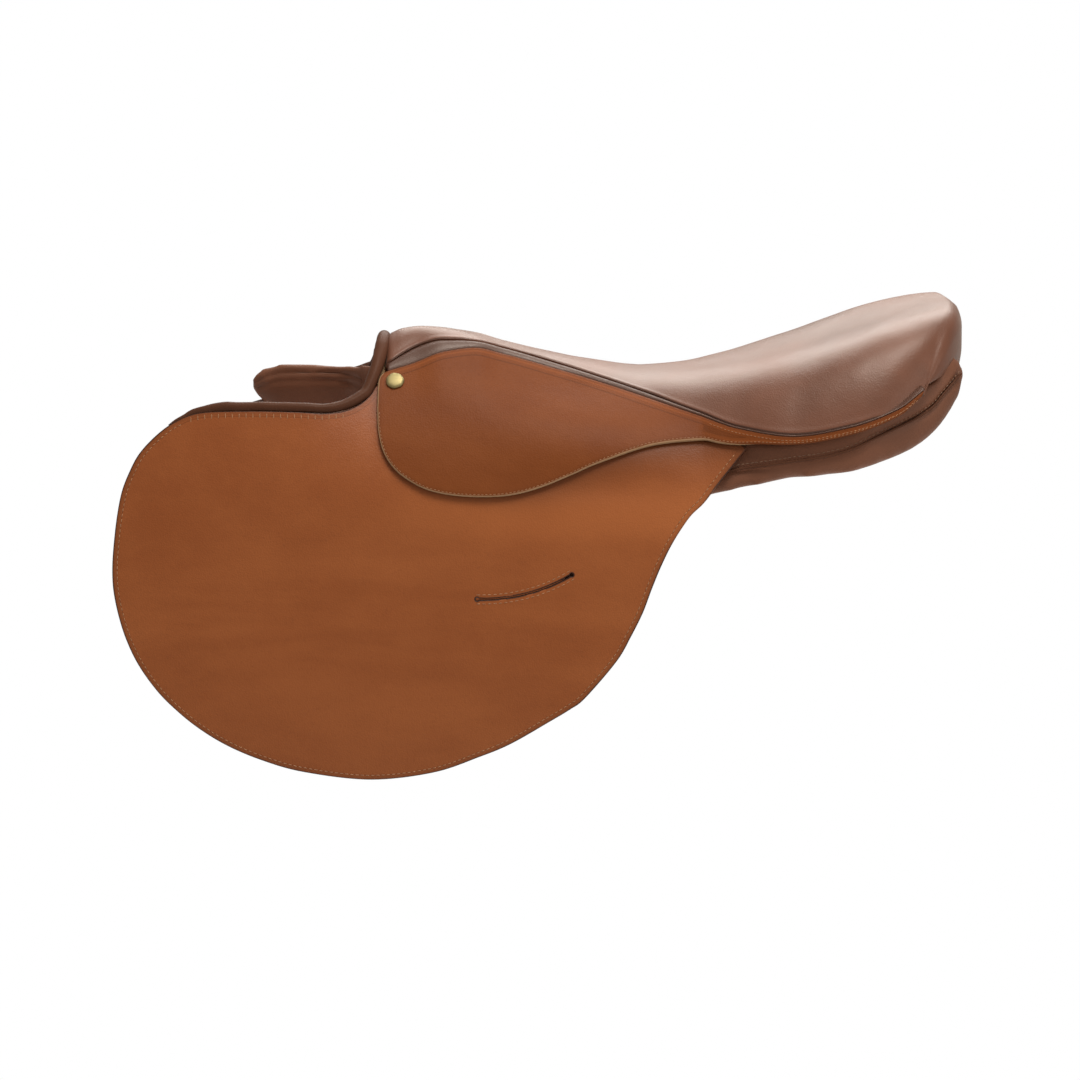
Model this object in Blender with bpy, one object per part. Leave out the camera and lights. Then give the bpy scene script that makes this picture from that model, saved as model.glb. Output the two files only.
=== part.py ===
"""Race exercise saddle with a half panel: tree, seat, skirts, forward cut flaps, panels and girth straps.

Run with: blender --background --python part.py
Metres. +X to the cantle, -Y to the near (left) side, +Z up. The origin lies on the centre plane, under
the deepest point of the seat. The near side is built first, and the off side mirrors it, apart from the
front of the off flap, which hangs a little lower.
"""
import math
import bpy
import bmesh
from mathutils import Matrix, Vector

# Seat: its two ends on the centre plane and its crest heights
POMMEL_X = -0.198
CANTLE_X = 0.252
POMMEL_TOP = 0.1205
SEAT_DIP = 0.0873
CANTLE_TOP = 0.1435
CANTLE_SWEEP = 0.032
SEAT_LEATHER = 0.002
SEAT_RUN = CANTLE_X - POMMEL_X

# Sides of the saddle: the line along which the flaps bend, and the shape below and above it
BEND_Z = -0.003
BEND_HALF_WIDTH = 0.106
BEND_STATION = -0.120
SPLAY = 0.04
FLARE = 0.24
CURL = 0.65
WAIST_HALF_WIDTH = 0.018
SEAT_HALF_WIDTH = 0.1085

# Leathers, webs and the clearances between them
SKIRT_LEATHER = 0.0035
FLAP_LEATHER = 0.004
BILLET_LEATHER = 0.003
PANEL_LEATHER = 0.0015
WEB_THICKNESS = 0.0014
TOUCH = 0.0003
LEATHER_GAP = 0.0005
BILLET_PLAY = 0.0022

# Skirt: its bend line runs straight from the front edge to the tail
SKIRT_FRONT_X = -0.2018
SKIRT_BEND_FRONT = (-0.2020, 0.0700)
SKIRT_BEND_REAR = (0.0440, 0.0530)
SKIRT_BEND_BLEND_ABOVE = 0.026
SKIRT_BEND_BLEND_BELOW = 0.046
SKIRT_TAIL_SHARE = 0.9044
BEND_CUT = 0.0003

# Flap
FLAP_FRONT_X = -0.4027
FLAP_REAR_X = 0.0768
FLAP_BOTTOM_Z = -0.2091
BAR_NOTCH = (-0.150, -0.062)
BAR_NOTCH_FLOOR = 0.030
OFF_FLAP_DROOP = 0.032
SLIT_LENGTH = 0.072
SLIT_WIDTH = 0.0022
SLIT_CENTRE = (-0.0890, -0.0592)
SLIT_SLOPE = 15.0
SLIT_SAG = 0.0050

# Tree
ARCH_FRONT_X = -0.2035
ARCH_REAR_X = -0.1765
ARCH_TOP = 0.1035
ARCH_FOOT_Z = -0.020
ARCH_THICKNESS = 0.008
ARCH_DEPTH = 0.0090
PLATE_THICKNESS = 0.002
PLATE_MARGIN = 0.001
PLATE_FOOT_Z = 0.040
FACING_FOOT_Z = 0.030
RAIL_THICKNESS = 0.007
CANTLE_BOARD_INSET = 0.067
RAIL_END_X = CANTLE_X - CANTLE_BOARD_INSET
CANTLE_BOARD_DEPTH = 0.020
CANTLE_BOARD_HEIGHT = 0.011
FACING_LEATHER = 0.0014

# Stirrup bars, near the waist
BAR_X = -0.111
BAR_Z = 0.055
BAR_LENGTH = 0.062
BAR_BLADE_HEIGHT = 0.010
BAR_BLADE_THICKNESS = 0.0034
BAR_PLATE_THICKNESS = 0.0024
BAR_SLOT = 0.0090
BAR_BRIDGE = 0.008
BAR_DEPTH = 0.0050
RIVET_RADIUS = 0.003
RIVET_HEAD = 0.0012
CATCH_LENGTH = 0.015
CATCH_HEIGHT = 0.008
CATCH_THICKNESS = 0.003
CATCH_PIN_RADIUS = 0.0014

# Girth straps (billets) and the webs that carry them
BILLET_STATIONS = (-0.158, -0.047)
BILLET_WIDTH = 0.025
BILLET_TOP_Z = 0.030
BILLET_PIVOT_Z = 0.024
BILLET_TIP_Z = -0.140
BILLET_HOLES = 4
BILLET_HOLE_RADIUS = 0.0022
BILLET_HOLE_PITCH = 0.025
WEB_DEPTH_LOW = 0.0141
WEB_DEPTH_HIGH = 0.0150
WEB_END_Z = 0.0205
WEB_SHOULDER = 0.014

# Nails and rolls
NAIL_RADIUS = 0.00635
NAIL_HEIGHT = 0.0036
NAIL_POSITION = (-0.1888, 0.0874)
ROLL_RADIUS = 0.0036
POMMEL_ROLL_RADIUS = 0.0054
PIPING_RADIUS = 0.0012

# Panels
PANEL_FRONT_X = -0.310
PANEL_REAR_S = 0.2505
PANEL_SEAM = 0.45
PANEL_FRONT_TUCK = 0.0040
GULLET_HALF_WIDTH = 0.027

NEAR, OFF = -1, 1
SIDES = (("near", NEAR), ("off", OFF))


def clear_scene():
    for obj in list(bpy.data.objects):
        bpy.data.objects.remove(obj, do_unlink=True)


def smooth(knots):
    """Curve through (x, value) knots that never overshoots them, as a function."""
    xs = [knot[0] for knot in knots]
    ys = [knot[1] for knot in knots]
    last = len(xs) - 1
    slope = [(ys[i + 1] - ys[i]) / (xs[i + 1] - xs[i]) for i in range(last)]
    tangent = [slope[0]]
    for before, after in zip(slope, slope[1:]):
        turns = before * after <= 0
        tangent.append(0.0 if turns else 2 * before * after / (before + after))
    tangent.append(slope[-1])

    def value(x):
        if x <= xs[0]:
            return ys[0] + tangent[0] * (x - xs[0])
        if x >= xs[-1]:
            return ys[-1] + tangent[-1] * (x - xs[-1])
        i = max(k for k in range(last) if xs[k] <= x)
        step = xs[i + 1] - xs[i]
        t = (x - xs[i]) / step
        start = (1 + 2 * t) * (1 - t) ** 2 * ys[i] + t * (1 - t) ** 2 * step * tangent[i]
        return start + t * t * (3 - 2 * t) * ys[i + 1] + t * t * (t - 1) * step * tangent[i + 1]

    return value


def along_seat(knots):
    """Curve whose knots are given as shares of the seat's run, counted from the pommel."""
    return smooth([(POMMEL_X + share * SEAT_RUN, value) for share, value in knots])


def ease(t):
    """Smooth step from 0 to 1."""
    t = min(max(t, 0.0), 1.0)
    return t * t * (3 - 2 * t)


def mix(a, b, t):
    return a + (b - a) * t


# Upper edge of the skirts: half width and height at each share of the seat's run
seam_half_width = along_seat([
    (-0.493, 0.080), (-0.293, 0.076), (-0.138, 0.071), (-0.038, 0.052), (0.000, 0.039),
    (0.049, 0.033), (0.102, 0.027), (0.153, 0.021), (0.204, WAIST_HALF_WIDTH), (0.302, 0.024),
    (0.369, 0.034), (0.451, 0.050), (0.533, 0.072), (0.598, 0.089), (0.680, 0.104),
    (0.778, SEAT_HALF_WIDTH), (0.860, 0.104), (0.904, 0.096), (0.930, 0.086), (0.950, 0.074)])
seam_height = along_seat([
    (-0.493, 0.070), (-0.293, 0.074), (-0.138, 0.077), (-0.038, 0.086), (0.000, 0.0933),
    (0.049, 0.0992), (0.102, 0.1072), (0.153, 0.1091), (0.204, 0.1037), (0.302, 0.0923),
    (0.369, 0.0850), (0.451, 0.0762), (0.533, 0.0676), (0.598, 0.0608), (0.680, 0.0583),
    (0.778, 0.0660), (0.860, 0.0790), (0.904, 0.0920), (0.930, 0.0975), (0.950, 0.1010)])
# Strip of dark leather that shows between the seat and the skirt
welt_width = along_seat([
    (0.000, 0.0040), (0.058, 0.0100), (0.122, 0.0065), (0.164, 0.0042), (0.307, 0.0035),
    (0.451, 0.0028), (0.533, 0.0022), (0.600, 0.0016), (0.950, 0.0016)])


def raw_side(x, z):
    hip = BEND_HALF_WIDTH + SPLAY * (x - BEND_STATION)
    if z <= BEND_Z:
        drop = BEND_Z - z
        return hip + FLARE * drop - CURL * drop * drop
    top_width, top_height = seam_half_width(x), seam_height(x)
    height = top_height - BEND_Z
    s = (z - BEND_Z) / height
    straight = FLARE * height
    bow = hip - top_width - straight
    if s <= 1:
        return hip - straight * s - bow * s * s
    return top_width - (straight + 2 * bow) * (s - 1)


def skirt_bend_height(x):
    (x0, z0), (x1, z1) = SKIRT_BEND_FRONT, SKIRT_BEND_REAR
    return z0 + (z1 - z0) * (x - x0) / (x1 - x0)


SKIRT_BEND_WIDTHS = (raw_side(*SKIRT_BEND_FRONT), raw_side(*SKIRT_BEND_REAR))


def side(x, z):
    """Half width of the saddle's outer face at x and z: straight along both bend lines."""
    width = raw_side(x, z)
    offset = z - skirt_bend_height(x)
    offset /= SKIRT_BEND_BLEND_ABOVE if offset > 0 else SKIRT_BEND_BLEND_BELOW
    if abs(offset) >= 1:
        return width
    x0, x1 = SKIRT_BEND_FRONT[0], SKIRT_BEND_REAR[0]
    inside = min(max(x, x0), x1)
    fade = 1 - min(abs(x - inside) / SKIRT_BEND_BLEND_ABOVE, 1.0)
    straight = mix(*SKIRT_BEND_WIDTHS, (inside - x0) / (x1 - x0))
    push = straight - raw_side(inside, skirt_bend_height(inside))
    return width + push * (1 - offset * offset) ** 2 * fade * fade


def layer(x, z, depth):
    """Half width of a face that lies depth inside the outer face."""
    e = 0.001
    dx = (side(x + e, z) - side(x - e, z)) / (2 * e)
    dz = (side(x, z + e) - side(x, z - e)) / (2 * e)
    return side(x, z) - depth * math.sqrt(1 + dx * dx + dz * dz)


def outward(x, z, sign):
    """Unit normal of the outer face."""
    e = 0.001
    dx = (side(x + e, z) - side(x - e, z)) / (2 * e)
    dz = (side(x, z + e) - side(x, z - e)) / (2 * e)
    return Vector((-dx, sign, -dz)).normalized()


def material(name, color, roughness, metallic=0.0):
    mat = bpy.data.materials.new(name)
    mat.use_nodes = True
    shader = mat.node_tree.nodes["Principled BSDF"]
    shader.inputs["Base Color"].default_value = (*color, 1.0)
    shader.inputs["Roughness"].default_value = roughness
    shader.inputs["Metallic"].default_value = metallic
    return mat


TAN = (0.244, 0.068, 0.019)
SKIRT_TAN = (0.226, 0.064, 0.019)
SEAT_BROWN = (0.112, 0.043, 0.028)
DARK_BROWN = (0.058, 0.024, 0.015)
FELT = (0.55, 0.50, 0.42)
FOAM = (0.72, 0.62, 0.40)
WEB = (0.45, 0.38, 0.26)
BEECH = (0.42, 0.25, 0.12)
STEEL = (0.55, 0.55, 0.56)
BRASS = (0.72, 0.62, 0.30)


def add_object(name, bm, color, roughness, metallic=0.0, origin=(0, 0, 0)):
    """Closes the normals, moves the mesh to its origin and makes the object."""
    bmesh.ops.recalc_face_normals(bm, faces=bm.faces)
    origin = Vector(origin)
    bmesh.ops.translate(bm, verts=bm.verts, vec=-origin)
    mesh = bpy.data.meshes.new(name)
    bm.to_mesh(mesh)
    bm.free()
    mesh.shade_smooth()
    mesh.set_sharp_from_angle(angle=math.radians(40))
    obj = bpy.data.objects.new(name, mesh)
    obj.location = origin
    obj.data.materials.append(material(name, color, roughness, metallic))
    bpy.context.scene.collection.objects.link(obj)
    return obj


def grid_solid(name, outer, inner, color, roughness, metallic=0.0, origin=(0, 0, 0)):
    """Closed sheet between two grids of points that share rows and columns."""
    bm = bmesh.new()
    rows, columns = len(outer), len(outer[0])
    top = [[bm.verts.new(point) for point in row] for row in outer]
    low = [[bm.verts.new(point) for point in row] for row in inner]

    def quad(a, b, c, d):
        bm.faces.new((a, b, c))
        bm.faces.new((a, c, d))

    for i in range(rows - 1):
        for j in range(columns - 1):
            quad(top[i][j], top[i + 1][j], top[i + 1][j + 1], top[i][j + 1])
            quad(low[i][j], low[i][j + 1], low[i + 1][j + 1], low[i + 1][j])
    for i in range(rows - 1):
        quad(top[i][0], low[i][0], low[i + 1][0], top[i + 1][0])
        quad(top[i][-1], top[i + 1][-1], low[i + 1][-1], low[i][-1])
    for j in range(columns - 1):
        quad(top[0][j], top[0][j + 1], low[0][j + 1], low[0][j])
        quad(top[-1][j], low[-1][j], low[-1][j + 1], top[-1][j + 1])
    return add_object(name, bm, color, roughness, metallic, origin)


def loft_solid(name, loops, color, roughness, metallic=0.0, origin=(0, 0, 0)):
    """Closed body through rings of points, with flat ends."""
    bm = bmesh.new()
    rings = [[bm.verts.new(point) for point in loop] for loop in loops]
    count = len(rings[0])
    for ring, following in zip(rings, rings[1:]):
        for k in range(count):
            after = (k + 1) % count
            bm.faces.new((ring[k], ring[after], following[after]))
            bm.faces.new((ring[k], following[after], following[k]))
    bm.faces.new(rings[0])
    bm.faces.new(reversed(rings[-1]))
    return add_object(name, bm, color, roughness, metallic, origin)


def tube_loops(path, radii, sides):
    """Rings of a round tube along a path."""
    loops = []
    side_axis = None
    for i, point in enumerate(path):
        before = path[max(i - 1, 0)]
        after = path[min(i + 1, len(path) - 1)]
        along = (after - before).normalized()
        if side_axis is None:
            side_axis = along.orthogonal().normalized()
        side_axis = (side_axis - along * side_axis.dot(along)).normalized()
        other = along.cross(side_axis)
        ring = []
        for k in range(sides):
            turn = 2 * math.pi * k / sides
            ring.append(point + (side_axis * math.cos(turn) + other * math.sin(turn)) * radii[i])
        loops.append(ring)
    return loops


def spread(start, end, count):
    return [mix(start, end, i / (count - 1)) for i in range(count)]


def side_sheet(name, sign, columns, shares, outer_depth, inner_depth, color, roughness,
               metallic=0.0, origin=(0, 0, 0), drawn_at=None):
    """Sheet on the saddle's side with edges cut square through its thickness.

    columns holds (x, low z, high z), shares the rows between them. The outline is drawn on the
    sheet's outer face, or at another depth.
    """
    start = outer_depth if drawn_at is None else drawn_at
    faces = []
    for depth in (outer_depth, inner_depth):
        face = []
        for x, low, high in columns:
            line = []
            for share in shares:
                z = mix(low, high, share)
                normal = outward(x, z, 1)
                at_x, at_z = x - normal.x * (depth - start), z - normal.z * (depth - start)
                line.append((at_x, sign * layer(at_x, at_z, depth), at_z))
            face.append(line)
        faces.append(face)
    outer, inner = faces
    return grid_solid(name, outer, inner, color, roughness, metallic, origin)


def cut(obj, cutter):
    """Takes the cutter out of the object and leaves it in the scene as a guide."""
    cutter.hide_render = True
    cutter.display_type = 'WIRE'
    modifier = obj.modifiers.new("cut", 'BOOLEAN')
    modifier.operation = 'DIFFERENCE'
    modifier.solver = 'EXACT'
    modifier.object = cutter


# Seat

SEAT_STATIONS = [0.0133, 0.032, 0.060, 0.093, 0.127, 0.163, 0.205, 0.250, 0.302, 0.360, 0.425,
                 0.490, 0.560, 0.630, 0.700, 0.765, 0.825, 0.880, 0.930, 0.968]
SEAT_ACROSS = [0.0, 0.24, 0.46, 0.64, 0.78, 0.88, 0.95, 1.0]

pommel_share = smooth([(0.0, 0.62), (0.0133, 0.80), (0.030, 0.925), (0.060, 1.0), (0.093, 0.985),
                       (0.127, 0.91), (0.163, 0.79), (0.198, 0.655), (0.302, 0.33), (0.404, 0.066),
                       (0.440, 0.0)])
cantle_share = smooth([(0.440, 0.0), (0.509, 0.025), (0.587, 0.127), (0.698, 0.353), (0.801, 0.618),
                       (0.851, 0.765), (0.898, 0.873), (0.951, 0.970), (0.985, 1.0)])
squareness = smooth([(0.0, 2.0), (0.2, 2.2), (0.44, 2.6), (0.587, 3.4), (0.70, 3.9), (0.80, 4.2),
                     (0.90, 4.2), (1.0, 4.2)])
dish = smooth([(0.0, 0.0), (0.50, 0.0), (0.587, 0.003), (0.70, 0.005), (0.80, 0.004), (0.90, -0.001),
               (1.0, -0.004)])


def crest(share):
    """Height of the seat on the centre plane."""
    if share < 0.44:
        return SEAT_DIP + (POMMEL_TOP - SEAT_DIP) * pommel_share(share)
    return SEAT_DIP + (CANTLE_TOP - SEAT_DIP) * cantle_share(share)


def sweep(share, y):
    """How far a point off the centre plane lies ahead of it: the cantle is an arc in plan."""
    amount = CANTLE_SWEEP * ease((share - 0.55) / 0.40)
    return amount * (y / 0.100) ** 2


def seat_edge(share):
    """Half width and height of the seat's lower edge at a station."""
    station = POMMEL_X + share * SEAT_RUN
    x = station
    for _ in range(20):
        height = seam_height(x) + welt_width(x)
        width = layer(x, height, LEATHER_GAP)
        x = mix(x, station - sweep(share, width), 0.6)
    return width, height


def seat_point(share, t):
    """Point of the seat's outer face: t runs from -1 at the near edge to 1 at the off edge."""
    width, edge_height = seat_edge(share)
    top = crest(share)
    rise = dish(share)
    a = abs(t)
    z = top + rise * a * a - (top + rise - edge_height) * a ** squareness(share)
    y = width * t
    return Vector((POMMEL_X + share * SEAT_RUN - sweep(share, y), y, z))


def seat_rows():
    """Grid of the seat's outer face, with the rolled front edge and the rolled cantle."""
    across = [-t for t in reversed(SEAT_ACROSS[1:])] + SEAT_ACROSS
    rows = [[seat_point(share, t) for t in across] for share in SEAT_STATIONS]
    rim = rows[-1]
    seat_bottom = seam_height(CANTLE_X - CANTLE_SWEEP) + 0.006
    for back, drop in ((0.0075, 0.10), (0.0105, 0.34), (0.0085, 0.68), (0.0035, 1.0)):
        row = []
        for point, t in zip(rim, across):
            low = seat_bottom - 0.008 * t * t
            low = min(low, point.z - 0.004)
            row.append(Vector((point.x + back * (1 - 0.55 * t ** 4), point.y * (1 + 0.3 * back / 0.1),
                               mix(point.z, low, drop))))
        rows.append(row)
    return rows


def grid_normals(rows):
    """Unit normals of a grid of points, pointing up and out."""
    normals = []
    for i, row in enumerate(rows):
        line = []
        for j in range(len(row)):
            along = rows[min(i + 1, len(rows) - 1)][j] - rows[max(i - 1, 0)][j]
            across = row[min(j + 1, len(row) - 1)] - row[max(j - 1, 0)]
            line.append(along.cross(across).normalized())
        normals.append(line)
    return normals


def offset_rows(rows, depth):
    normals = grid_normals(rows)
    return [[point - normal * depth for point, normal in zip(row, line)]
            for row, line in zip(rows, normals)]


foam_thickness = smooth([(0.0, 0.007), (0.2, 0.007), (0.44, 0.011), (0.65, 0.020), (0.85, 0.026),
                         (1.0, 0.026)])


def foam_bottom(share):
    return crest(share) - SEAT_LEATHER - foam_thickness(share)


def build_seat():
    rows = seat_rows()
    inner = offset_rows(rows, SEAT_LEATHER)
    thin = offset_rows(rows, SEAT_LEATHER * 0.25)
    for i in (0, 1, *range(len(SEAT_STATIONS) - 1, len(rows))):
        for j in (0, 1, 2, -3, -2, -1):
            inner[i][j] = thin[i][j]
    for row, inside in zip(rows, inner):
        for j in (0, -1):
            inside[j].z = row[j].z
    grid_solid("seat_leather", rows, inner, SEAT_BROWN, 0.38)
    top = offset_rows(rows[:len(SEAT_STATIONS)], SEAT_LEATHER + 0.0008)
    trim = 2
    top = [row[trim:-trim] for row in top]
    bottom = []
    for share, row in zip(SEAT_STATIONS, top):
        floor = foam_bottom(share)
        bottom.append([Vector((p.x, p.y * 0.985, min(floor, p.z - 0.004))) for p in row])
    grid_solid("seat_foam", top[1:], bottom[1:], FOAM, 0.9)


def seat_web_top(x):
    share = (x - POMMEL_X) / SEAT_RUN
    return min(foam_bottom(share), seat_point(share, 0.6).z - 0.0075) - 0.0012


def build_seat_web():
    """Lengthwise web under the foam, nailed from the arch to the cantle board."""
    outer, inner = [], []
    for share in [0.062, 0.093, 0.127, 0.163, 0.205, 0.250, 0.302, 0.360, 0.425, 0.490, 0.560,
                  0.630, 0.700, 0.765, 0.845]:
        width = min(seat_edge(share)[0] * 0.55, 0.028)
        x = POMMEL_X + share * SEAT_RUN
        z = seat_web_top(x)
        outer.append([(x, y, z) for y in (-width, 0.0, width)])
        inner.append([(x, y, z - WEB_THICKNESS) for y in (-width, 0.0, width)])
    grid_solid("seat_web", outer, inner, WEB, 0.9)


# Bows: the shapes that cross the saddle from side to side, such as the front arch and the webs

def bow(x, foot_z, spring_z, depth, top, legs, crown):
    """Points from the near foot over the centre to the off foot, depth inside the sides."""
    leg = [(layer(x, z, depth(z)), z) for z in spread(foot_z, spring_z, legs)]
    half = list(leg)
    reach = leg[-1][0]
    lean = (reach * 0.66, mix(spring_z, top, 0.50))
    level = (reach * 0.36, top)
    for k in range(1, crown + 1):
        t = k / crown
        weights = ((1 - t) ** 3, 3 * t * (1 - t) ** 2, 3 * t * t * (1 - t), t ** 3)
        y = weights[0] * reach + weights[1] * lean[0] + weights[2] * level[0]
        z = weights[0] * spring_z + weights[1] * lean[1] + (weights[2] + weights[3]) * top
        half.append((y, z))
    near = [(-y, z) for y, z in half[:-1]]
    return near + [(0.0, half[-1][1])] + [(y, z) for y, z in reversed(half[:-1])]


def bow_solid(name, stations, foot_z, shoulder, depth, thickness, top_at, legs, crown, color,
              roughness, metallic=0.0):
    """Bow through stations along X; its legs end and its crown starts at shoulder below its top."""
    outer, inner = [], []
    for x in stations:
        top = top_at(x)
        spring_z = top - shoulder
        outside = bow(x, foot_z, spring_z, depth, top, legs, crown)
        inside = bow(x, foot_z, spring_z, lambda z: depth(z) + thickness, top - thickness, legs, crown)
        outer.append([(x, y, z) for y, z in outside])
        inner.append([(x, y, z) for y, z in inside])
    return grid_solid(name, outer, inner, color, roughness, metallic)


ARCH_SHOULDER = 0.0255


def build_arch():
    def wood(_):
        return ARCH_DEPTH

    def arch_top(_):
        return ARCH_TOP

    bow_solid("front_arch", (ARCH_FRONT_X, ARCH_REAR_X), ARCH_FOOT_Z, ARCH_SHOULDER, wood,
              ARCH_THICKNESS, arch_top, 7, 4, BEECH, 0.6)

    def plate(_):
        return ARCH_DEPTH + PLATE_MARGIN

    def plate_top(_):
        return ARCH_TOP - PLATE_MARGIN

    head = ARCH_FRONT_X - TOUCH
    bow_solid("head_plate", (head - PLATE_THICKNESS, head), PLATE_FOOT_Z, ARCH_SHOULDER, plate,
              ARCH_THICKNESS - 2 * PLATE_MARGIN, plate_top, 3, 4, STEEL, 0.35, 1.0)
    gullet = ARCH_REAR_X + TOUCH
    bow_solid("gullet_plate", (gullet, gullet + PLATE_THICKNESS), PLATE_FOOT_Z, ARCH_SHOULDER, plate,
              ARCH_THICKNESS - 2 * PLATE_MARGIN, plate_top, 3, 4, STEEL, 0.35, 1.0)
    facing = head - PLATE_THICKNESS - TOUCH
    bow_solid("pommel_facing", (facing - FACING_LEATHER, facing), FACING_FOOT_Z, ARCH_SHOULDER, wood,
              ARCH_THICKNESS, arch_top, 3, 4, DARK_BROWN, 0.5)


def web_depth(z):
    return mix(WEB_DEPTH_LOW, WEB_DEPTH_HIGH, ease((z - 0.038) / 0.022))


def web_top(x):
    """Top of a girth web, against the underside of the lengthwise web."""
    return seat_web_top(x) - WEB_THICKNESS - LEATHER_GAP


def build_girth_webs():
    for place, x in zip(("front", "rear"), BILLET_STATIONS):
        stations = (x - BILLET_WIDTH / 2, x, x + BILLET_WIDTH / 2)
        bow_solid(f"{place}_girth_web", stations, WEB_END_Z, WEB_SHOULDER, web_depth,
                  WEB_THICKNESS, web_top, 7, 3, WEB, 0.9)


rail_low = smooth([(-0.175, 0.048), (-0.060, 0.048), (-0.020, 0.049), (0.030, 0.053), (0.080, 0.061),
                   (0.130, 0.068), (RAIL_END_X, 0.084)])
rail_high = smooth([(-0.175, 0.080), (-0.150, 0.075), (-0.060, 0.067), (-0.020, 0.065),
                    (0.030, 0.066), (0.080, 0.073), (0.130, 0.080), (RAIL_END_X, 0.095)])
rail_depth = smooth([(-0.175, 0.0211), (-0.050, 0.0211), (-0.020, 0.0180), (0.030, 0.0140),
                     (0.080, 0.018), (0.130, 0.026), (RAIL_END_X, 0.030)])


def build_rails():
    start = ARCH_REAR_X + 2 * TOUCH + PLATE_THICKNESS
    stations = [start, -0.145, -0.110, -0.080, -0.050, -0.020, 0.010, 0.045, 0.080, 0.115, 0.150,
                RAIL_END_X]
    for label, sign in SIDES:
        outer, inner = [], []
        for x in stations:
            depth = rail_depth(x)
            heights = spread(rail_low(x), rail_high(x), 3)
            outer.append([(x, sign * layer(x, z, depth), z) for z in heights])
            inner.append([(x, sign * layer(x, z, depth + RAIL_THICKNESS), z) for z in heights])
        grid_solid(f"{label}_tree_rail", outer, inner, BEECH, 0.55)


def build_cantle_board():
    """Wooden arc under the cantle's rim; the rails end against its front."""
    share = 0.925
    top = foam_bottom(0.88) - 0.0008
    half = 0.075
    sections = []
    for y in spread(-half, half, 11):
        front = POMMEL_X + share * SEAT_RUN - CANTLE_BOARD_DEPTH - sweep(share, y) * 1.05
        drop = 0.002 * (y / half) ** 2
        front = max(front, RAIL_END_X + 0.0005)
        back = front + CANTLE_BOARD_DEPTH * (1 - 0.35 * (y / half) ** 4)
        sections.append([(front, y, top - drop), (back, y, top - drop),
                         (back, y, top - drop - CANTLE_BOARD_HEIGHT),
                         (front, y, top - drop - CANTLE_BOARD_HEIGHT)])
    loft_solid("cantle_board", sections, BEECH, 0.55)


# Flaps and skirts

# Stations at which the skirt and the flap under it are both shaped, so that they nest
COVERED_STATIONS = (-0.1897, -0.1797, -0.1646, -0.1457, -0.1346, -0.1232, -0.1006, -0.0780, -0.0555,
                    -0.0330, -0.0190, -0.0050, 0.0200, 0.0400)

flap_top = smooth([(-0.4013, -0.0270), (-0.3984, -0.0050), (-0.3945, 0.0126), (-0.3883, 0.0274),
                   (-0.3821, 0.0385), (-0.3729, 0.0489), (-0.3615, 0.0585), (-0.3502, 0.0650),
                   (-0.3389, 0.0690), (-0.3239, 0.0705), (-0.2898, 0.0705), (-0.2598, 0.0695),
                   (-0.2412, 0.0680), (-0.2263, 0.0690), (-0.2151, 0.0730), (-0.2075, 0.0785),
                   (-0.2045, 0.0830), (-0.2010, 0.0855)])
flap_bottom = smooth([(-0.4022, -0.0619), (-0.3988, -0.0808), (-0.3932, -0.0999),
                      (-0.3845, -0.1192), (-0.3720, -0.1380), (-0.3594, -0.1520),
                      (-0.3415, -0.1677), (-0.3196, -0.1820), (-0.2930, -0.1939),
                      (-0.2600, -0.2035), (-0.2086, FLAP_BOTTOM_Z), (-0.1600, -0.2025),
                      (-0.1240, -0.1890), (-0.1000, -0.1780), (-0.0700, -0.1595),
                      (-0.0552, -0.1500), (-0.0439, -0.1410), (-0.0335, -0.1318),
                      (-0.0200, -0.1118), (-0.0093, -0.0927), (-0.0004, -0.0744),
                      (0.0063, -0.0563), (0.0137, -0.0383), (0.0227, -0.0205), (0.0346, -0.0028),
                      (0.0450, 0.0073), (0.0555, 0.0205), (0.0665, 0.0335), (FLAP_REAR_X, 0.0460)])
FLAP_OUTER = SKIRT_LEATHER + LEATHER_GAP


def droop(x, sign):
    """The off flap's front hangs lower than the near one's."""
    if sign == NEAR:
        return 0.0
    return OFF_FLAP_DROOP * ease((-0.228 - x) / 0.105)


def front_edge(x, sign):
    """Height of the flap's front edge."""
    return flap_top(x) - droop(x, sign)


def hidden_flap_top(x):
    """Flap's upper edge under the skirt."""
    return mix(0.0840, 0.0490, ease((x - SKIRT_FRONT_X) / (FLAP_REAR_X - SKIRT_FRONT_X)))


def notch_cutter(label, sign):
    """Block that opens the flap's upper edge around the stirrup bar."""
    bm = bmesh.new()
    low, high = sorted((sign * 0.030, sign * 0.130))
    box(bm, (BAR_NOTCH[0], low, BAR_NOTCH_FLOOR), (BAR_NOTCH[1], high, POMMEL_TOP))
    return add_object(f"{label}_notch_cutter", bm, TAN, 0.5)


def upper_flap_top(x):
    return flap_top(x) if x < -0.2010 else hidden_flap_top(x)


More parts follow.
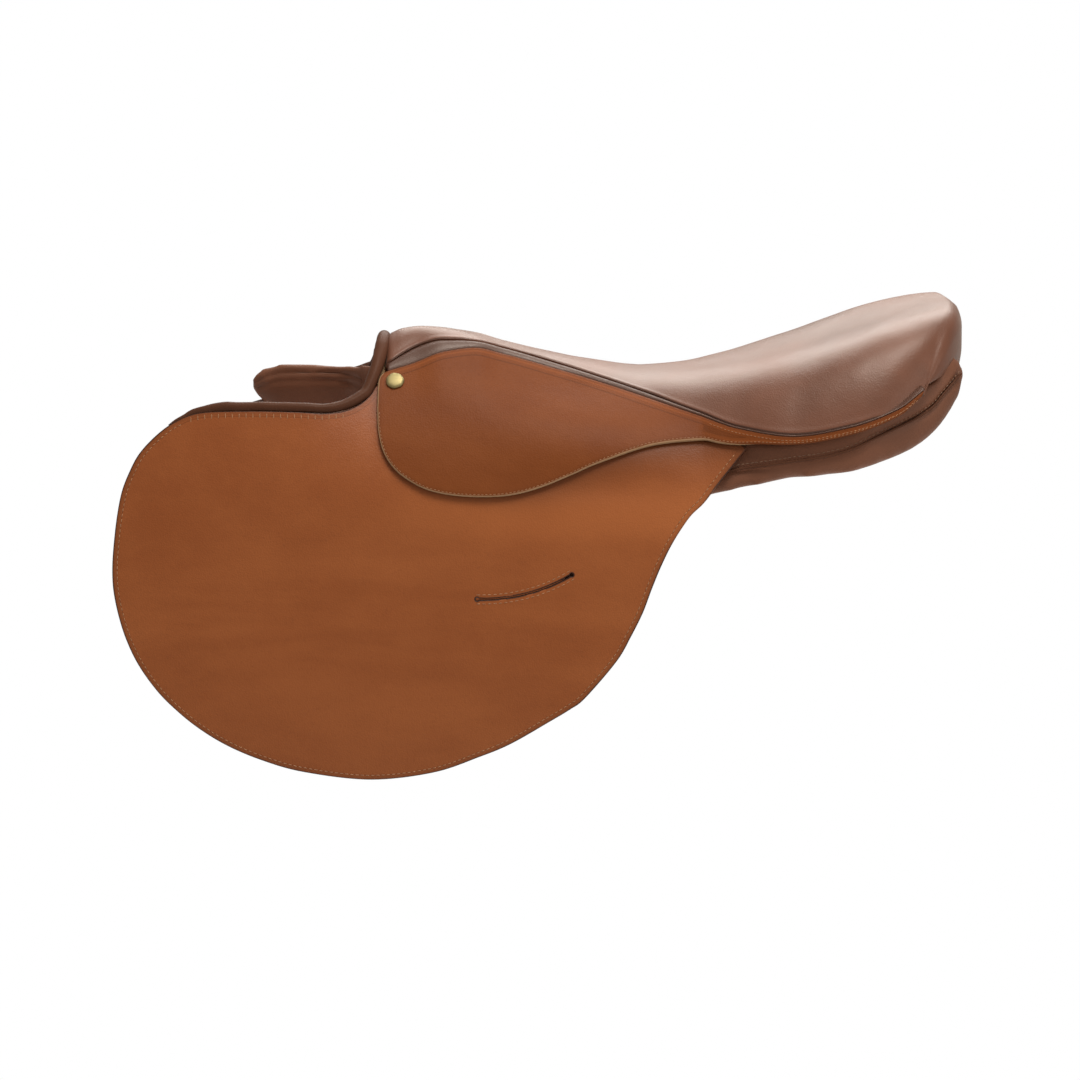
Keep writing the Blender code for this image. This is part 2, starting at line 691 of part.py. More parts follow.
def build_flaps():
    lower_front = -0.3975
    upper_stations = [lower_front, -0.3945, -0.3883, -0.3821, -0.3729, -0.3615, -0.3502, -0.3389,
                      -0.3200, -0.3060, -0.2900, -0.2750, -0.2600, -0.2412, -0.2263, -0.2151,
                      -0.2075, -0.2045, -0.1990, *COVERED_STATIONS, 0.0450, 0.0555, 0.0665,
                      FLAP_REAR_X - 0.0005]
    lower_stations = [FLAP_FRONT_X, -0.4010, -0.3985, -0.3945, -0.3883, -0.3800, -0.3690, -0.3540,
                      -0.3350, -0.3100, -0.2800, -0.2450, -0.2086, -0.1700, -0.1400, -0.1163,
                      -0.0900, -0.0700, -0.0520, -0.0335, -0.0200, -0.0093, -0.0004, 0.0063,
                      0.0137, 0.0227]
    axis_x = BEND_STATION
    for label, sign in SIDES:
        upper = []
        for x in upper_stations:
            sag = droop(x, sign)
            low = BEND_Z + BEND_CUT
            if x > 0.0300:
                low = max(low, flap_bottom(x))
            upper.append((x, low, max(upper_flap_top(x) - sag, low + 0.0008)))
        flap = side_sheet(f"{label}_flap", sign, upper, spread(0, 1, 9), FLAP_OUTER,
                          FLAP_OUTER + FLAP_LEATHER, TAN, 0.5)
        cut(flap, notch_cutter(label, sign))
        lower = []
        for x in lower_stations:
            sag = droop(x, sign)
            high = BEND_Z - BEND_CUT
            if x < lower_front:
                high = min(high, mix(-0.0430, -0.0050, ((x - FLAP_FRONT_X) /
                                                        (lower_front - FLAP_FRONT_X)) ** 0.6) - sag)
            low_sag = sag * ease((-0.3720 - x) / 0.030)
            low = (flap_bottom(x) if x > FLAP_FRONT_X + 0.0002 else -0.0560) - low_sag
            lower.append((x, min(low, high - 0.001), high))
        origin = (axis_x, sign * layer(axis_x, BEND_Z, FLAP_OUTER), BEND_Z)
        lobe = side_sheet(f"{label}_flap_lobe", sign, lower, spread(0, 1, 7), FLAP_OUTER,
                          FLAP_OUTER + FLAP_LEATHER, TAN, 0.5, origin=origin)
        cut(lobe, slit_cutter(label, sign))


def slit_points(count):
    """Middle line of the slit, as (x, z)."""
    slope = math.radians(SLIT_SLOPE)
    points = []
    for t in spread(-1, 1, count):
        along = t * SLIT_LENGTH / 2
        sag = SLIT_SAG * (t * t - 1) + SLIT_SAG * 0.6
        points.append((SLIT_CENTRE[0] + along * math.cos(slope) - sag * math.sin(slope),
                       SLIT_CENTRE[1] + along * math.sin(slope) + sag * math.cos(slope)))
    return points


def slit_cutter(label, sign):
    """Curved blade with slightly wider punched ends."""
    reach = 0.012
    points = slit_points(7)
    loops = []
    for i, (x, z) in enumerate(points):
        width = SLIT_WIDTH * (1.5 if i in (0, len(points) - 1) else 1.0)
        y = sign * layer(x, z, FLAP_OUTER + FLAP_LEATHER / 2)
        loops.append([(x, y - reach, z - width / 2), (x, y + reach, z - width / 2),
                      (x, y + reach, z + width / 2), (x, y - reach, z + width / 2)])
    return loft_solid(f"{label}_slit_cutter", loops, TAN, 0.5)


skirt_bottom = smooth([(-0.2020, 0.0690), (-0.2008, 0.0563), (-0.1970, 0.0428), (-0.1897, 0.0320),
                       (-0.1797, 0.0239), (-0.1646, 0.0164), (-0.1457, 0.0123), (-0.1232, 0.0111),
                       (-0.1006, 0.0125), (-0.0780, 0.0180), (-0.0555, 0.0267), (-0.0330, 0.0362),
                       (0.0044, 0.0478), (0.0417, 0.0516)])
# Width of the skirt's tail, which tapers under the seat
tail_width = along_seat([(0.533, 0.0160), (0.598, 0.0109), (0.640, 0.0075), (0.696, 0.0060),
                         (0.794, 0.0058), (0.869, 0.0052), (SKIRT_TAIL_SHARE, 0.0030)])
TAIL_SHARES = (0.5956, 0.6511, 0.7067, 0.7622, 0.8178, 0.8689, SKIRT_TAIL_SHARE)


def skirt_top(x):
    """Upper edge of the skirt, rounded down at its front corner."""
    corner = 0.0055 * max(0.0, 1 - (x - SKIRT_FRONT_X) / 0.007) ** 2
    return seam_height(x) - corner


def build_skirts():
    band_stations = [SKIRT_FRONT_X, -0.1990, -0.1950, *COVERED_STATIONS, SKIRT_BEND_REAR[0],
                     SKIRT_BEND_REAR[0] + 0.0008]
    band_stations += [POMMEL_X + share * SEAT_RUN for share in TAIL_SHARES]
    lobe_stations = [SKIRT_FRONT_X + 0.0002, -0.2008, -0.1970, *COVERED_STATIONS]
    for label, sign in SIDES:
        band = []
        for x in band_stations:
            low = skirt_top(x) - tail_width(x)
            if x <= SKIRT_BEND_REAR[0]:
                low = skirt_bend_height(x) + BEND_CUT
            band.append((x, low, skirt_top(x)))
        side_sheet(f"{label}_skirt", sign, band, spread(0, 1, 5), 0.0, SKIRT_LEATHER, SKIRT_TAN, 0.5)
        lobe = []
        for x in lobe_stations:
            high = skirt_bend_height(x) - BEND_CUT
            lobe.append((x, min(skirt_bottom(x), high - 0.0008), high))
        x0, z0 = SKIRT_BEND_FRONT
        origin = (x0, sign * side(x0, z0), z0)
        side_sheet(f"{label}_skirt_lobe", sign, lobe, spread(0, 1, 6), 0.0, SKIRT_LEATHER, SKIRT_TAN, 0.5,
                   origin=origin)


def build_seat_welts():
    for label, sign in SIDES:
        columns = []
        for x in COVERED_STATIONS[:9]:
            low = seam_height(x) + TOUCH
            width = max(welt_width(x) - TOUCH - SEAT_LEATHER - LEATHER_GAP, 0.0006)
            columns.append((x, low, low + width))
        side_sheet(f"{label}_seat_welt", sign, columns, (0, 1), 0.0010, 0.0026, DARK_BROWN, 0.45,
                   drawn_at=0.0)


def local_frame(x, z, sign, depth):
    """Matrix whose X lies along the saddle, Y points outward and Z up the side, at a depth."""
    normal = outward(x, z, sign)
    along = Vector((1, 0, 0))
    along = (along - normal * along.dot(normal)).normalized()
    up = along.cross(normal)
    if up.z < 0:
        up = -up
    frame = Matrix((along, normal, up)).transposed().to_4x4()
    frame.translation = Vector((x, sign * side(x, z), z)) - normal * depth
    return frame


def box(bm, low, high):
    """Adds a closed box to a mesh."""
    result = bmesh.ops.create_cube(bm, size=1.0)
    size = Vector(high) - Vector(low)
    middle = (Vector(high) + Vector(low)) / 2
    for vert in result["verts"]:
        vert.co = Vector((vert.co.x * size.x, vert.co.y * size.y, vert.co.z * size.z)) + middle


def outline_solid(name, outline, thickness, frame, color, roughness, metallic=0.0, origin=None):
    """Plate: an outline in the frame's X and Y, as tall as thickness along Z."""
    bm = bmesh.new()
    low = [bm.verts.new((u, v, -thickness / 2)) for u, v in outline]
    face = bm.faces.new(low)
    result = bmesh.ops.extrude_face_region(bm, geom=[face])
    top = [item for item in result["geom"] if isinstance(item, bmesh.types.BMVert)]
    bmesh.ops.translate(bm, verts=top, vec=(0, 0, thickness))
    bmesh.ops.transform(bm, matrix=frame, verts=bm.verts)
    return add_object(name, bm, color, roughness, metallic, origin or frame.translation)


def cylinder(name, radius, low, high, frame, color, roughness, metallic=0.0, sides=12, dome=0.0,
             origin=None):
    """Round bar along the frame's Y, with a domed outer end if asked."""
    loops = []
    for y, r in ((low, radius), (high - dome, radius)):
        loops.append((y, r))
    if dome:
        loops += [(high - dome * 0.45, radius * 0.80), (high - dome * 0.08, radius * 0.42)]
    rings = []
    for y, r in loops:
        rings.append([frame @ Vector((r * math.cos(2 * math.pi * k / sides), y,
                                      r * math.sin(2 * math.pi * k / sides)))
                      for k in range(sides)])
    return loft_solid(name, rings, color, roughness, metallic, origin or frame.translation)


# Stirrup bars

def build_stirrup_bars():
    """Bar: a plate against the rail, a bridge at its front and a blade that the leather hangs on."""
    half = BAR_LENGTH / 2
    slot_inner = BAR_BLADE_THICKNESS + BAR_SLOT
    total = slot_inner + BAR_PLATE_THICKNESS
    hinge_tail = 0.012
    for label, sign in SIDES:
        frame = local_frame(BAR_X, BAR_Z, sign, BAR_DEPTH)
        blade_low = -BAR_BLADE_HEIGHT / 2
        outline = [(-half, 0.0), (half - 0.003, 0.0), (half, -0.0012), (half, -BAR_BLADE_THICKNESS),
                   (-half + BAR_BRIDGE, -BAR_BLADE_THICKNESS), (-half + BAR_BRIDGE, -slot_inner),
                   (half + hinge_tail, -slot_inner), (half + hinge_tail, -total), (-half, -total)]
        bar = outline_solid(f"{label}_stirrup_bar", outline, BAR_BLADE_HEIGHT, frame, STEEL, 0.3, 1.0)
        pin_x = half + hinge_tail / 2
        hinge = frame @ Matrix.Translation((pin_x, 0, 0))
        catch_inner = -slot_inner + TOUCH
        catch_outer = catch_inner + CATCH_THICKNESS
        pin_hole = cylinder(f"{label}_bar_pin_cutter", CATCH_PIN_RADIUS + TOUCH, -total - 0.003,
                            catch_outer + 0.003, hinge, STEEL, 0.3)
        cut(bar, pin_hole)
        catch = catch_solid(label, hinge, catch_inner, catch_outer)
        cut(catch, pin_hole)
        cylinder(f"{label}_bar_catch_pin", CATCH_PIN_RADIUS, -total + TOUCH, catch_outer + 0.0006,
                 hinge, STEEL, 0.3, 1.0, sides=10)
        for place, offset in (("front", -half + 0.0085 + BAR_BRIDGE), ("rear", half - 0.012)):
            spot = frame @ Matrix.Translation((offset, 0, 0))
            cylinder(f"{label}_bar_rivet_{place}", RIVET_RADIUS, -slot_inner + TOUCH,
                     -slot_inner + TOUCH + RIVET_HEAD, spot, STEEL, 0.35, 1.0, sides=10,
                     dome=RIVET_HEAD * 0.6)


def catch_solid(label, hinge, inner, outer):
    """Thumb piece: rounded at its hinge, standing up to close the bar's open end."""
    half = CATCH_HEIGHT / 2
    outline = []
    for turn in spread(180, 360, 7):
        outline.append((half * math.cos(math.radians(turn)), half * math.sin(math.radians(turn))))
    outline += [(half, CATCH_LENGTH - half - 0.002), (half - 0.002, CATCH_LENGTH - half),
                (-half + 0.002, CATCH_LENGTH - half), (-half, CATCH_LENGTH - half - 0.002)]
    upright = hinge @ Matrix.Rotation(math.radians(90), 4, 'X')
    upright = upright @ Matrix.Translation((0, 0, -(inner + outer) / 2))
    return outline_solid(f"{label}_bar_catch", outline, outer - inner, upright, STEEL, 0.3, 1.0,
                         origin=hinge.translation)


# Billets

BILLET_DEPTH = FLAP_OUTER + FLAP_LEATHER + BILLET_PLAY
BILLET_ROWS = (0.0, 0.16, 0.32, 0.47, 0.60, 0.70, 0.78, 0.84, 0.89, 0.93, 0.965, 1.0)


def build_billets():
    half = BILLET_WIDTH / 2
    for label, sign in SIDES:
        for place, x in zip(("front", "rear"), BILLET_STATIONS):
            columns = [(x - half, BILLET_TIP_Z + 0.008, BILLET_TOP_Z), (x, BILLET_TIP_Z, BILLET_TOP_Z),
                       (x + half, BILLET_TIP_Z + 0.008, BILLET_TOP_Z)]
            origin = (x, sign * layer(x, BILLET_PIVOT_Z, BILLET_DEPTH), BILLET_PIVOT_Z)
            billet = side_sheet(f"{label}_{place}_billet", sign, columns, BILLET_ROWS, BILLET_DEPTH,
                                BILLET_DEPTH + BILLET_LEATHER, DARK_BROWN, 0.5, origin=origin)
            cut(billet, hole_cutter(label, place, sign, x))


def hole_cutter(label, place, sign, x):
    """Row of punches, joined by a bar that stays clear of the strap."""
    bm = bmesh.new()
    for k in range(BILLET_HOLES):
        z = BILLET_TIP_Z + 0.028 + k * BILLET_HOLE_PITCH
        y = sign * layer(x, z, BILLET_DEPTH + BILLET_LEATHER / 2)
        matrix = Matrix.Translation((x, y, z)) @ Matrix.Rotation(math.radians(90), 4, 'X')
        bmesh.ops.create_cone(bm, cap_ends=True, segments=8, radius1=BILLET_HOLE_RADIUS,
                              radius2=BILLET_HOLE_RADIUS, depth=0.012, matrix=matrix)
    return add_object(f"{label}_{place}_punch_cutter", bm, DARK_BROWN, 0.5)


# Nails and rolls

def build_nails():
    for label, sign in SIDES:
        frame = local_frame(*NAIL_POSITION, sign, -0.0005)
        cylinder(f"{label}_saddle_nail", NAIL_RADIUS, 0.0, NAIL_HEIGHT, frame, BRASS, 0.3, 1.0,
                 sides=16, dome=NAIL_HEIGHT * 0.7)


def roll_path(sign):
    """Roll's centre line from the middle of the pommel to its end on the flap's front corner."""
    crown = [(-0.1995, 0.000, 0.1120), (-0.2000, 0.012, 0.1098), (-0.2015, 0.024, 0.1030),
             (-0.2040, 0.0345, 0.0945)]
    path = [Vector((x, sign * y, z)) for x, y, z in crown]
    radii = [POMMEL_ROLL_RADIUS, POMMEL_ROLL_RADIUS, 0.0052, 0.0048]
    for x in (-0.2075, -0.2130, -0.2200, -0.2290, -0.2412, -0.2600, -0.2750, -0.2900, -0.3060, -0.3200,
              -0.3389, -0.3502, -0.3600):
        e = 0.001
        slope = (front_edge(x + e, sign) - front_edge(x - e, sign)) / (2 * e)
        long = math.sqrt(1 + slope * slope)
        radius = mix(0.0046, ROLL_RADIUS, ease((-0.205 - x) / 0.04))
        away = radius + TOUCH + 0.0002
        px = x - away * slope / long
        pz = front_edge(x, sign) + away / long
        path.append(Vector((px, sign * layer(px, pz, FLAP_OUTER + FLAP_LEATHER / 2), pz)))
        radii.append(radius)
    radii[-1] *= 0.5
    return path, radii


def build_front_roll():
    """One leather covered roll, from flap to flap over the pommel."""
    near_path, near_radii = roll_path(NEAR)
    off_path, off_radii = roll_path(OFF)
    path = list(reversed(near_path[1:])) + off_path
    radii = list(reversed(near_radii[1:])) + off_radii
    loft_solid("pommel_roll", tube_loops(path, radii, 8), DARK_BROWN, 0.4)


# Panels

panel_low = smooth([(-0.310, 0.054), (-0.302, 0.044), (-0.285, 0.028), (-0.260, 0.010),
                    (-0.230, -0.010), (-0.190, -0.028), (-0.150, -0.036), (-0.100, -0.034),
                    (-0.050, -0.022), (0.000, -0.003), (0.046, 0.0075), (0.087, 0.0168),
                    (0.117, 0.0232), (0.154, 0.0272), (0.184, 0.0308), (0.207, 0.0372),
                    (0.223, 0.0440), (0.235, 0.0540), (0.243, 0.0650), (PANEL_REAR_S, 0.0790)])
panel_high = smooth([(-0.310, 0.0680), (-0.300, 0.0770), (-0.285, 0.0810), (-0.260, 0.0820),
                     (-0.222, 0.0800), (-0.213, 0.0740), (-0.207, 0.0580), (-0.190, 0.0520),
                     (-0.176, 0.0430), (-0.150, 0.0360), (-0.100, 0.0360), (-0.020, 0.0410),
                     (0.030, 0.0450), (0.080, 0.0520), (0.120, 0.0565), (0.154, 0.0610),
                     (0.184, 0.0705), (0.207, 0.0815), (0.230, 0.0915), (0.243, 0.0965),
                     (PANEL_REAR_S, 0.0985)])
panel_depth = smooth([(-0.310, 0.0096), (-0.2260, 0.0096), (-0.2120, 0.0182), (-0.1700, 0.0182),
                      (-0.1560, 0.0167), (-0.0300, 0.0168), (0.0200, 0.0120), (0.0700, 0.0102),
                      (0.0790, 0.0096), (0.1000, 0.0066), (0.1500, 0.0050), (PANEL_REAR_S, 0.0060)])
panel_rear_width = smooth([(0.190, 0.1030), (0.210, 0.0990), (0.232, 0.0875), (0.243, 0.0790),
                           (PANEL_REAR_S, 0.0700)])
inner_top_y = smooth([(-0.310, 0.050), (-0.285, 0.046), (-0.250, 0.042), (-0.215, 0.034),
                      (-0.190, 0.024), (-0.100, GULLET_HALF_WIDTH), (0.000, GULLET_HALF_WIDTH),
                      (0.207, GULLET_HALF_WIDTH), (0.230, 0.030), (PANEL_REAR_S, 0.044)])
inner_top_z = smooth([(-0.310, 0.0660), (-0.285, 0.0750), (-0.250, 0.0760), (-0.222, 0.0730),
                      (-0.207, 0.0560), (-0.190, 0.0500), (-0.176, 0.0420), (-0.150, 0.0360),
                      (-0.100, 0.0370),
                      (0.030, 0.0420), (0.080, 0.0440), (0.154, 0.0520), (0.184, 0.0600),
                      (0.207, 0.0700), (0.230, 0.0830), (PANEL_REAR_S, 0.0940)])
inner_low_y = smooth([(-0.310, 0.052), (-0.285, 0.058), (-0.250, 0.068), (-0.200, 0.074),
                      (-0.150, 0.070), (-0.100, 0.060), (-0.050, 0.050), (0.000, 0.042),
                      (0.060, 0.036), (0.150, 0.032), (0.207, 0.031), (0.230, 0.034),
                      (PANEL_REAR_S, 0.046)])
inner_low_z = smooth([(-0.310, 0.0570), (-0.285, 0.0350), (-0.250, 0.0080), (-0.200, -0.0120),
                      (-0.150, -0.0080), (-0.100, 0.0020), (-0.050, 0.0100), (0.000, 0.0160),
                      (0.060, 0.0230), (0.150, 0.0370), (0.184, 0.0430), (0.207, 0.0510),
                      (0.230, 0.0640), (0.243, 0.0760), (PANEL_REAR_S, 0.0860)])
PANEL_STATIONS = [PANEL_FRONT_X, -0.302, -0.288, -0.262, -0.226, -0.211, -0.200, -0.180, -0.155,
                  -0.115, -0.080, -0.050, -0.020, 0.010, 0.040, 0.065, 0.080, 0.110, 0.150, 0.185,
                  0.210, 0.230, 0.242, PANEL_REAR_S]


def panel_x(station, y):
    share = (station - POMMEL_X) / SEAT_RUN
    return station - sweep(share, y)


def crowned(start, end, bulge, count):
    """Points after start and up to end, on a curve that bulges to the left of the way."""
    along = Vector(end) - Vector(start)
    left = Vector((-along.y, along.x)).normalized()
    most = along.length * 0.08
    bulge = min(max(bulge, -most), most)
    points = []
    for k in range(1, count + 1):
        t = k / count
        points.append(Vector(start) + along * t + left * (4 * bulge * t * (1 - t)))
    return points


def panel_section(station):
    """Loop of (y, z): up the outer wall, over the top, down the gullet wall and back below."""
    depth = panel_depth(station)
    low, high = panel_low(station), panel_high(station)
    tuck = PANEL_FRONT_TUCK * ease((-0.205 - station) / 0.010)
    wall = []
    for t in (0.0, 0.22, PANEL_SEAM, 0.74, 1.0):
        z = mix(low, high, t)
        y = 0.1
        for _ in range(12):
            y = layer(panel_x(station, y), z, depth + tuck * t * t)
        y = mix(y, panel_rear_width(station) - 0.12 * (z - low), ease((station - 0.190) / 0.025))
        wall.append(Vector((y, z)))
    inner_top = (min(inner_top_y(station), wall[-1].x - 0.004), inner_top_z(station))
    inner_low = (min(inner_low_y(station), wall[0].x - 0.004), inner_low_z(station))
    loop = wall + crowned(wall[-1], inner_top, -0.0012, 3)
    loop += crowned(inner_top, inner_low, -0.0020, 3)
    loop += crowned(inner_low, wall[0], -0.0050, 4)[:-1]
    return loop


def inset(loop, distance):
    """The loop moved inwards by a distance."""
    points = []
    count = len(loop)
    for k, point in enumerate(loop):
        before = (point - loop[k - 1]).normalized()
        after = (loop[(k + 1) % count] - point).normalized()
        inward = Vector((-before.y, before.x)) + Vector((-after.y, after.x))
        bend = max(inward.length / 2, 0.55)
        points.append(point + inward.normalized() * (distance / bend))
    return points


def place_loop(loop, station, sign):
    return [(panel_x(station, p.x), sign * p.x, p.y) for p in loop]


SEAM_INDEX = 2
TOP_INDEX = 7


def strip_of_loop(loop, first, last, gap):
    """Points from first to last round the loop, with both ends drawn back by the gap."""
    count = len(loop)
    points = [loop[k % count] for k in range(first, last + 1)]
    points[0] = points[0] + (points[1] - points[0]).normalized() * gap
    points[-1] = points[-1] + (points[-2] - points[-1]).normalized() * gap
    return points


def build_panels():
    sections = [panel_section(station) for station in PANEL_STATIONS]
    count = len(sections[0])
    seam_gap = PIPING_RADIUS + 0.0010
    for label, sign in SIDES:
        core, facing_out, facing_in, lining_out, lining_in = [], [], [], [], []
        for station, section in zip(PANEL_STATIONS, sections):
            inside = inset(section, PANEL_LEATHER)
            core.append(place_loop(inset(section, PANEL_LEATHER + LEATHER_GAP), station, sign))
            gap = seam_gap if 0.06 < station < 0.22 else TOUCH
            for source, outer_list, first, last in (
                    (section, facing_out, SEAM_INDEX, TOP_INDEX),
                    (inside, facing_in, SEAM_INDEX, TOP_INDEX),
                    (section, lining_out, TOP_INDEX, count + SEAM_INDEX),
                    (inside, lining_in, TOP_INDEX, count + SEAM_INDEX)):
                points = strip_of_loop(source, first, last, gap)
                outer_list.append(place_loop(points, station, sign))
        loft_solid(f"{label}_panel_flocking", core[1:-1], FELT, 0.9)
        grid_solid(f"{label}_panel_facing", facing_out, facing_in, DARK_BROWN, 0.45)
        grid_solid(f"{label}_panel_lining", lining_out, lining_in, DARK_BROWN, 0.5)
        path = []
        for station, section in zip(PANEL_STATIONS, sections):
            if 0.06 < station < 0.22:
                point = inset(section, -2 * TOUCH)[SEAM_INDEX]
                path.append(Vector((panel_x(station, point.x), sign * point.x, point.y)))
        loft_solid(f"{label}_panel_piping", tube_loops(path, [PIPING_RADIUS] * len(path), 6),
                   DARK_BROWN, 0.45)


def main():
    clear_scene()
    build_seat()
    build_seat_web()
    build_arch()
    build_girth_webs()
    build_rails()
    build_cantle_board()
    build_flaps()
    build_skirts()
    build_seat_welts()
    build_stirrup_bars()
    build_billets()
    build_nails()
    build_front_roll()
    build_panels()


main()
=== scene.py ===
"""Looks of a race exercise saddle: leather, padding, stitches, nails and metal over its packed model."""
import math

import bpy
import bmesh
import numpy as np
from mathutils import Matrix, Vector, geometry, noise


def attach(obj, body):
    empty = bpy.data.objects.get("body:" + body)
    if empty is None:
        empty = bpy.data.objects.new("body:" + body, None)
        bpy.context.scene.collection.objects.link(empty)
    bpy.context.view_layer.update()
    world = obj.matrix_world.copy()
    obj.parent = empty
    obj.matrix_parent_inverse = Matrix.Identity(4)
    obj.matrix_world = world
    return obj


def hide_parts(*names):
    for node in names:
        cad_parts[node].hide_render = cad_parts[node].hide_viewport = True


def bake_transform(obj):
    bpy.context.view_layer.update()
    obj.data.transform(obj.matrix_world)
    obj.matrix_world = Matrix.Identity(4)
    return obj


bl_info = {
    "name": "Race Exercise Saddle",
    "version": (1, 0, 0),
    "blender": (4, 5, 0),
    "location": "3D View > Sidebar > Saddle",
    "description": "Builds the leather, padding and fittings of a race exercise saddle",
    "category": "Object",
}

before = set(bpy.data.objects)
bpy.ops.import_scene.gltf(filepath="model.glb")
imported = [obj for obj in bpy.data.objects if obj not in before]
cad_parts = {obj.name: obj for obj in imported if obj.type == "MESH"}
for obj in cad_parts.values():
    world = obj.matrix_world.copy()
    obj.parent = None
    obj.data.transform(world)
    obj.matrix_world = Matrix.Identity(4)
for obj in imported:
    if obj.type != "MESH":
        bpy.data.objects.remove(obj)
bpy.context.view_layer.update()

# Sizes shared with the packed model, in metres
POMMEL_X, CANTLE_X = -0.198, 0.252
SEAT_RUN = CANTLE_X - POMMEL_X
POMMEL_TOP, SEAT_DIP, CANTLE_TOP, CANTLE_SWEEP = 0.1205, 0.0873, 0.1435, 0.032
BEND_Z, BEND_HALF_WIDTH, BEND_STATION, SPLAY = -0.003, 0.106, -0.12, 0.04
FLARE, CURL = 0.24, 0.65
SKIRT_LEATHER, FLAP_LEATHER, BILLET_LEATHER = 0.0035, 0.004, 0.003
LEATHER_GAP = 0.0005
FLAP_OUTER = SKIRT_LEATHER + LEATHER_GAP
BILLET_DEPTH = FLAP_OUTER + FLAP_LEATHER + 0.0022
SKIRT_BEND_FRONT, SKIRT_BEND_REAR = (-0.202, 0.07), (0.044, 0.053)
BLEND_ABOVE, BLEND_BELOW = 0.026, 0.046
OFF_FLAP_DROOP = 0.032
BILLET_STATIONS, BILLET_WIDTH = (-0.158, -0.047), 0.025
BILLET_TOP_Z, BILLET_TIP_Z = 0.03, -0.14
NAIL_POSITION, NAIL_HEAD_RADIUS, NAIL_HEIGHT = (-0.1888, 0.0874), 0.007, 0.0036
SIDES = (("near", -1), ("off", 1))

# Sizes of this script alone, in metres
DROOP_START, DROOP_RUN = -0.228, 0.105
STITCH_LIFT = -0.00005
SLIT_MIDDLE, SLIT_HALF_LENGTH, SLIT_SLOPE = (-0.089, -0.0592), 0.036, math.radians(15.0)
SLIT_HALF_WIDTH, SLIT_END_HALF_WIDTH, PUNCH_RADIUS = 0.00035, 0.0005, 0.0012
HIDE_THICKNESS, HEM_THICKNESS = 0.0016, 0.001
GROOVE_HALF_WIDTH, SEAM_GROOVE = 0.0028, 0.0016
HOLE_RADIUS, HOLE_PITCH, FIRST_HOLE = 0.0022, 0.025, 0.028
FLAP_MESH, SKIRT_MESH = 0.0045, 0.0035
SLIT_ROW_GAP, SKIRT_ROW_INSET, STRAP_ROW_INSET, STRAP_ROW_SUNK = 0.0034, 0.0016, 0.0034, 0.00015
PANEL_VOXEL, SWELL_PRESSURE, SWELL_CAP, SWELL_FRAMES = 0.0045, 4.0, 0.0022, 20
PIPING_RADIUS, GROOVES_BELOW = 0.0011, (0.0045, 0.0105)
PUCKER_SCALE, PUCKER_HEIGHT, HEM_BEAD = 38, 0.00035, 0.0003


class Curve:
    """Curve through (x, value) knots that never overshoots them, for arrays."""

    def __init__(self, knots):
        self.x, self.y = np.array(knots, float).T
        slope = np.diff(self.y) / np.diff(self.x)
        before, after = slope[:-1], slope[1:]
        same = before * after > 0
        total = np.where(same, before + after, 1.0)
        inner = np.where(same, 2 * before * after / total, 0.0)
        self.tangent = np.concatenate([[slope[0]], inner, [slope[-1]]])

    def __call__(self, x):
        x = np.asarray(x, float)
        i = np.clip(np.searchsorted(self.x, x, side="right") - 1, 0, len(self.x) - 2)
        step = self.x[i + 1] - self.x[i]
        t = np.clip((x - self.x[i]) / step, 0, 1)
        value = (1 + 2 * t) * (1 - t) ** 2 * self.y[i] + t * (1 - t) ** 2 * step * self.tangent[i]
        value += t * t * (3 - 2 * t) * self.y[i + 1] + t * t * (t - 1) * step * self.tangent[i + 1]
        value += np.minimum(x - self.x[0], 0) * self.tangent[0]
        return value + np.maximum(x - self.x[-1], 0) * self.tangent[-1]


def along_seat(knots):
    return Curve([(POMMEL_X + share * SEAT_RUN, value) for share, value in knots])


def ease(t):
    t = np.clip(t, 0, 1)
    return t * t * (3 - 2 * t)


def mix(a, b, t):
    return a + (b - a) * t


def unit(vectors):
    return vectors / np.linalg.norm(vectors, axis=-1, keepdims=True)


def left_of(along):
    """Flat vectors turned by a quarter to the left."""
    return np.stack([-along[..., 1], along[..., 0]], -1)


# Share of the seat's run, then half width and height of the seam below the seat
SEAM = [
    (-0.493, 0.08, 0.07), (-0.293, 0.076, 0.074), (-0.138, 0.071, 0.077), (-0.038, 0.052, 0.086),
    (0.0, 0.039, 0.0933), (0.049, 0.033, 0.0992), (0.102, 0.027, 0.1072), (0.153, 0.021, 0.1091),
    (0.204, 0.018, 0.1037), (0.302, 0.024, 0.0923), (0.369, 0.034, 0.085), (0.451, 0.05, 0.0762),
    (0.533, 0.072, 0.0676), (0.598, 0.089, 0.0608), (0.68, 0.104, 0.0583), (0.778, 0.1085, 0.066),
    (0.86, 0.104, 0.079), (0.904, 0.096, 0.092), (0.93, 0.086, 0.0975), (0.95, 0.074, 0.101)]
seam_half_width = along_seat([(share, width) for share, width, _ in SEAM])
seam_height = along_seat([(share, height) for share, _, height in SEAM])
welt_width = along_seat([
    (0.0, 0.004), (0.058, 0.01), (0.122, 0.0065), (0.164, 0.0042), (0.307, 0.0035), (0.451, 0.0028),
    (0.533, 0.0022), (0.6, 0.0016), (0.95, 0.0016)])


def raw_side(x, z):
    hip = BEND_HALF_WIDTH + SPLAY * (x - BEND_STATION)
    drop = np.maximum(BEND_Z - z, 0)
    below = hip + FLARE * drop - CURL * drop * drop
    top_width, top_height = seam_half_width(x), seam_height(x)
    height = top_height - BEND_Z
    s = (z - BEND_Z) / height
    straight = FLARE * height
    bow = hip - top_width - straight
    above = np.where(s <= 1, hip - straight * s - bow * s * s,
                     top_width - (straight + 2 * bow) * (s - 1))
    return np.where(z <= BEND_Z, below, above)


def skirt_bend_height(x):
    (x0, z0), (x1, z1) = SKIRT_BEND_FRONT, SKIRT_BEND_REAR
    return z0 + (z1 - z0) * (x - x0) / (x1 - x0)


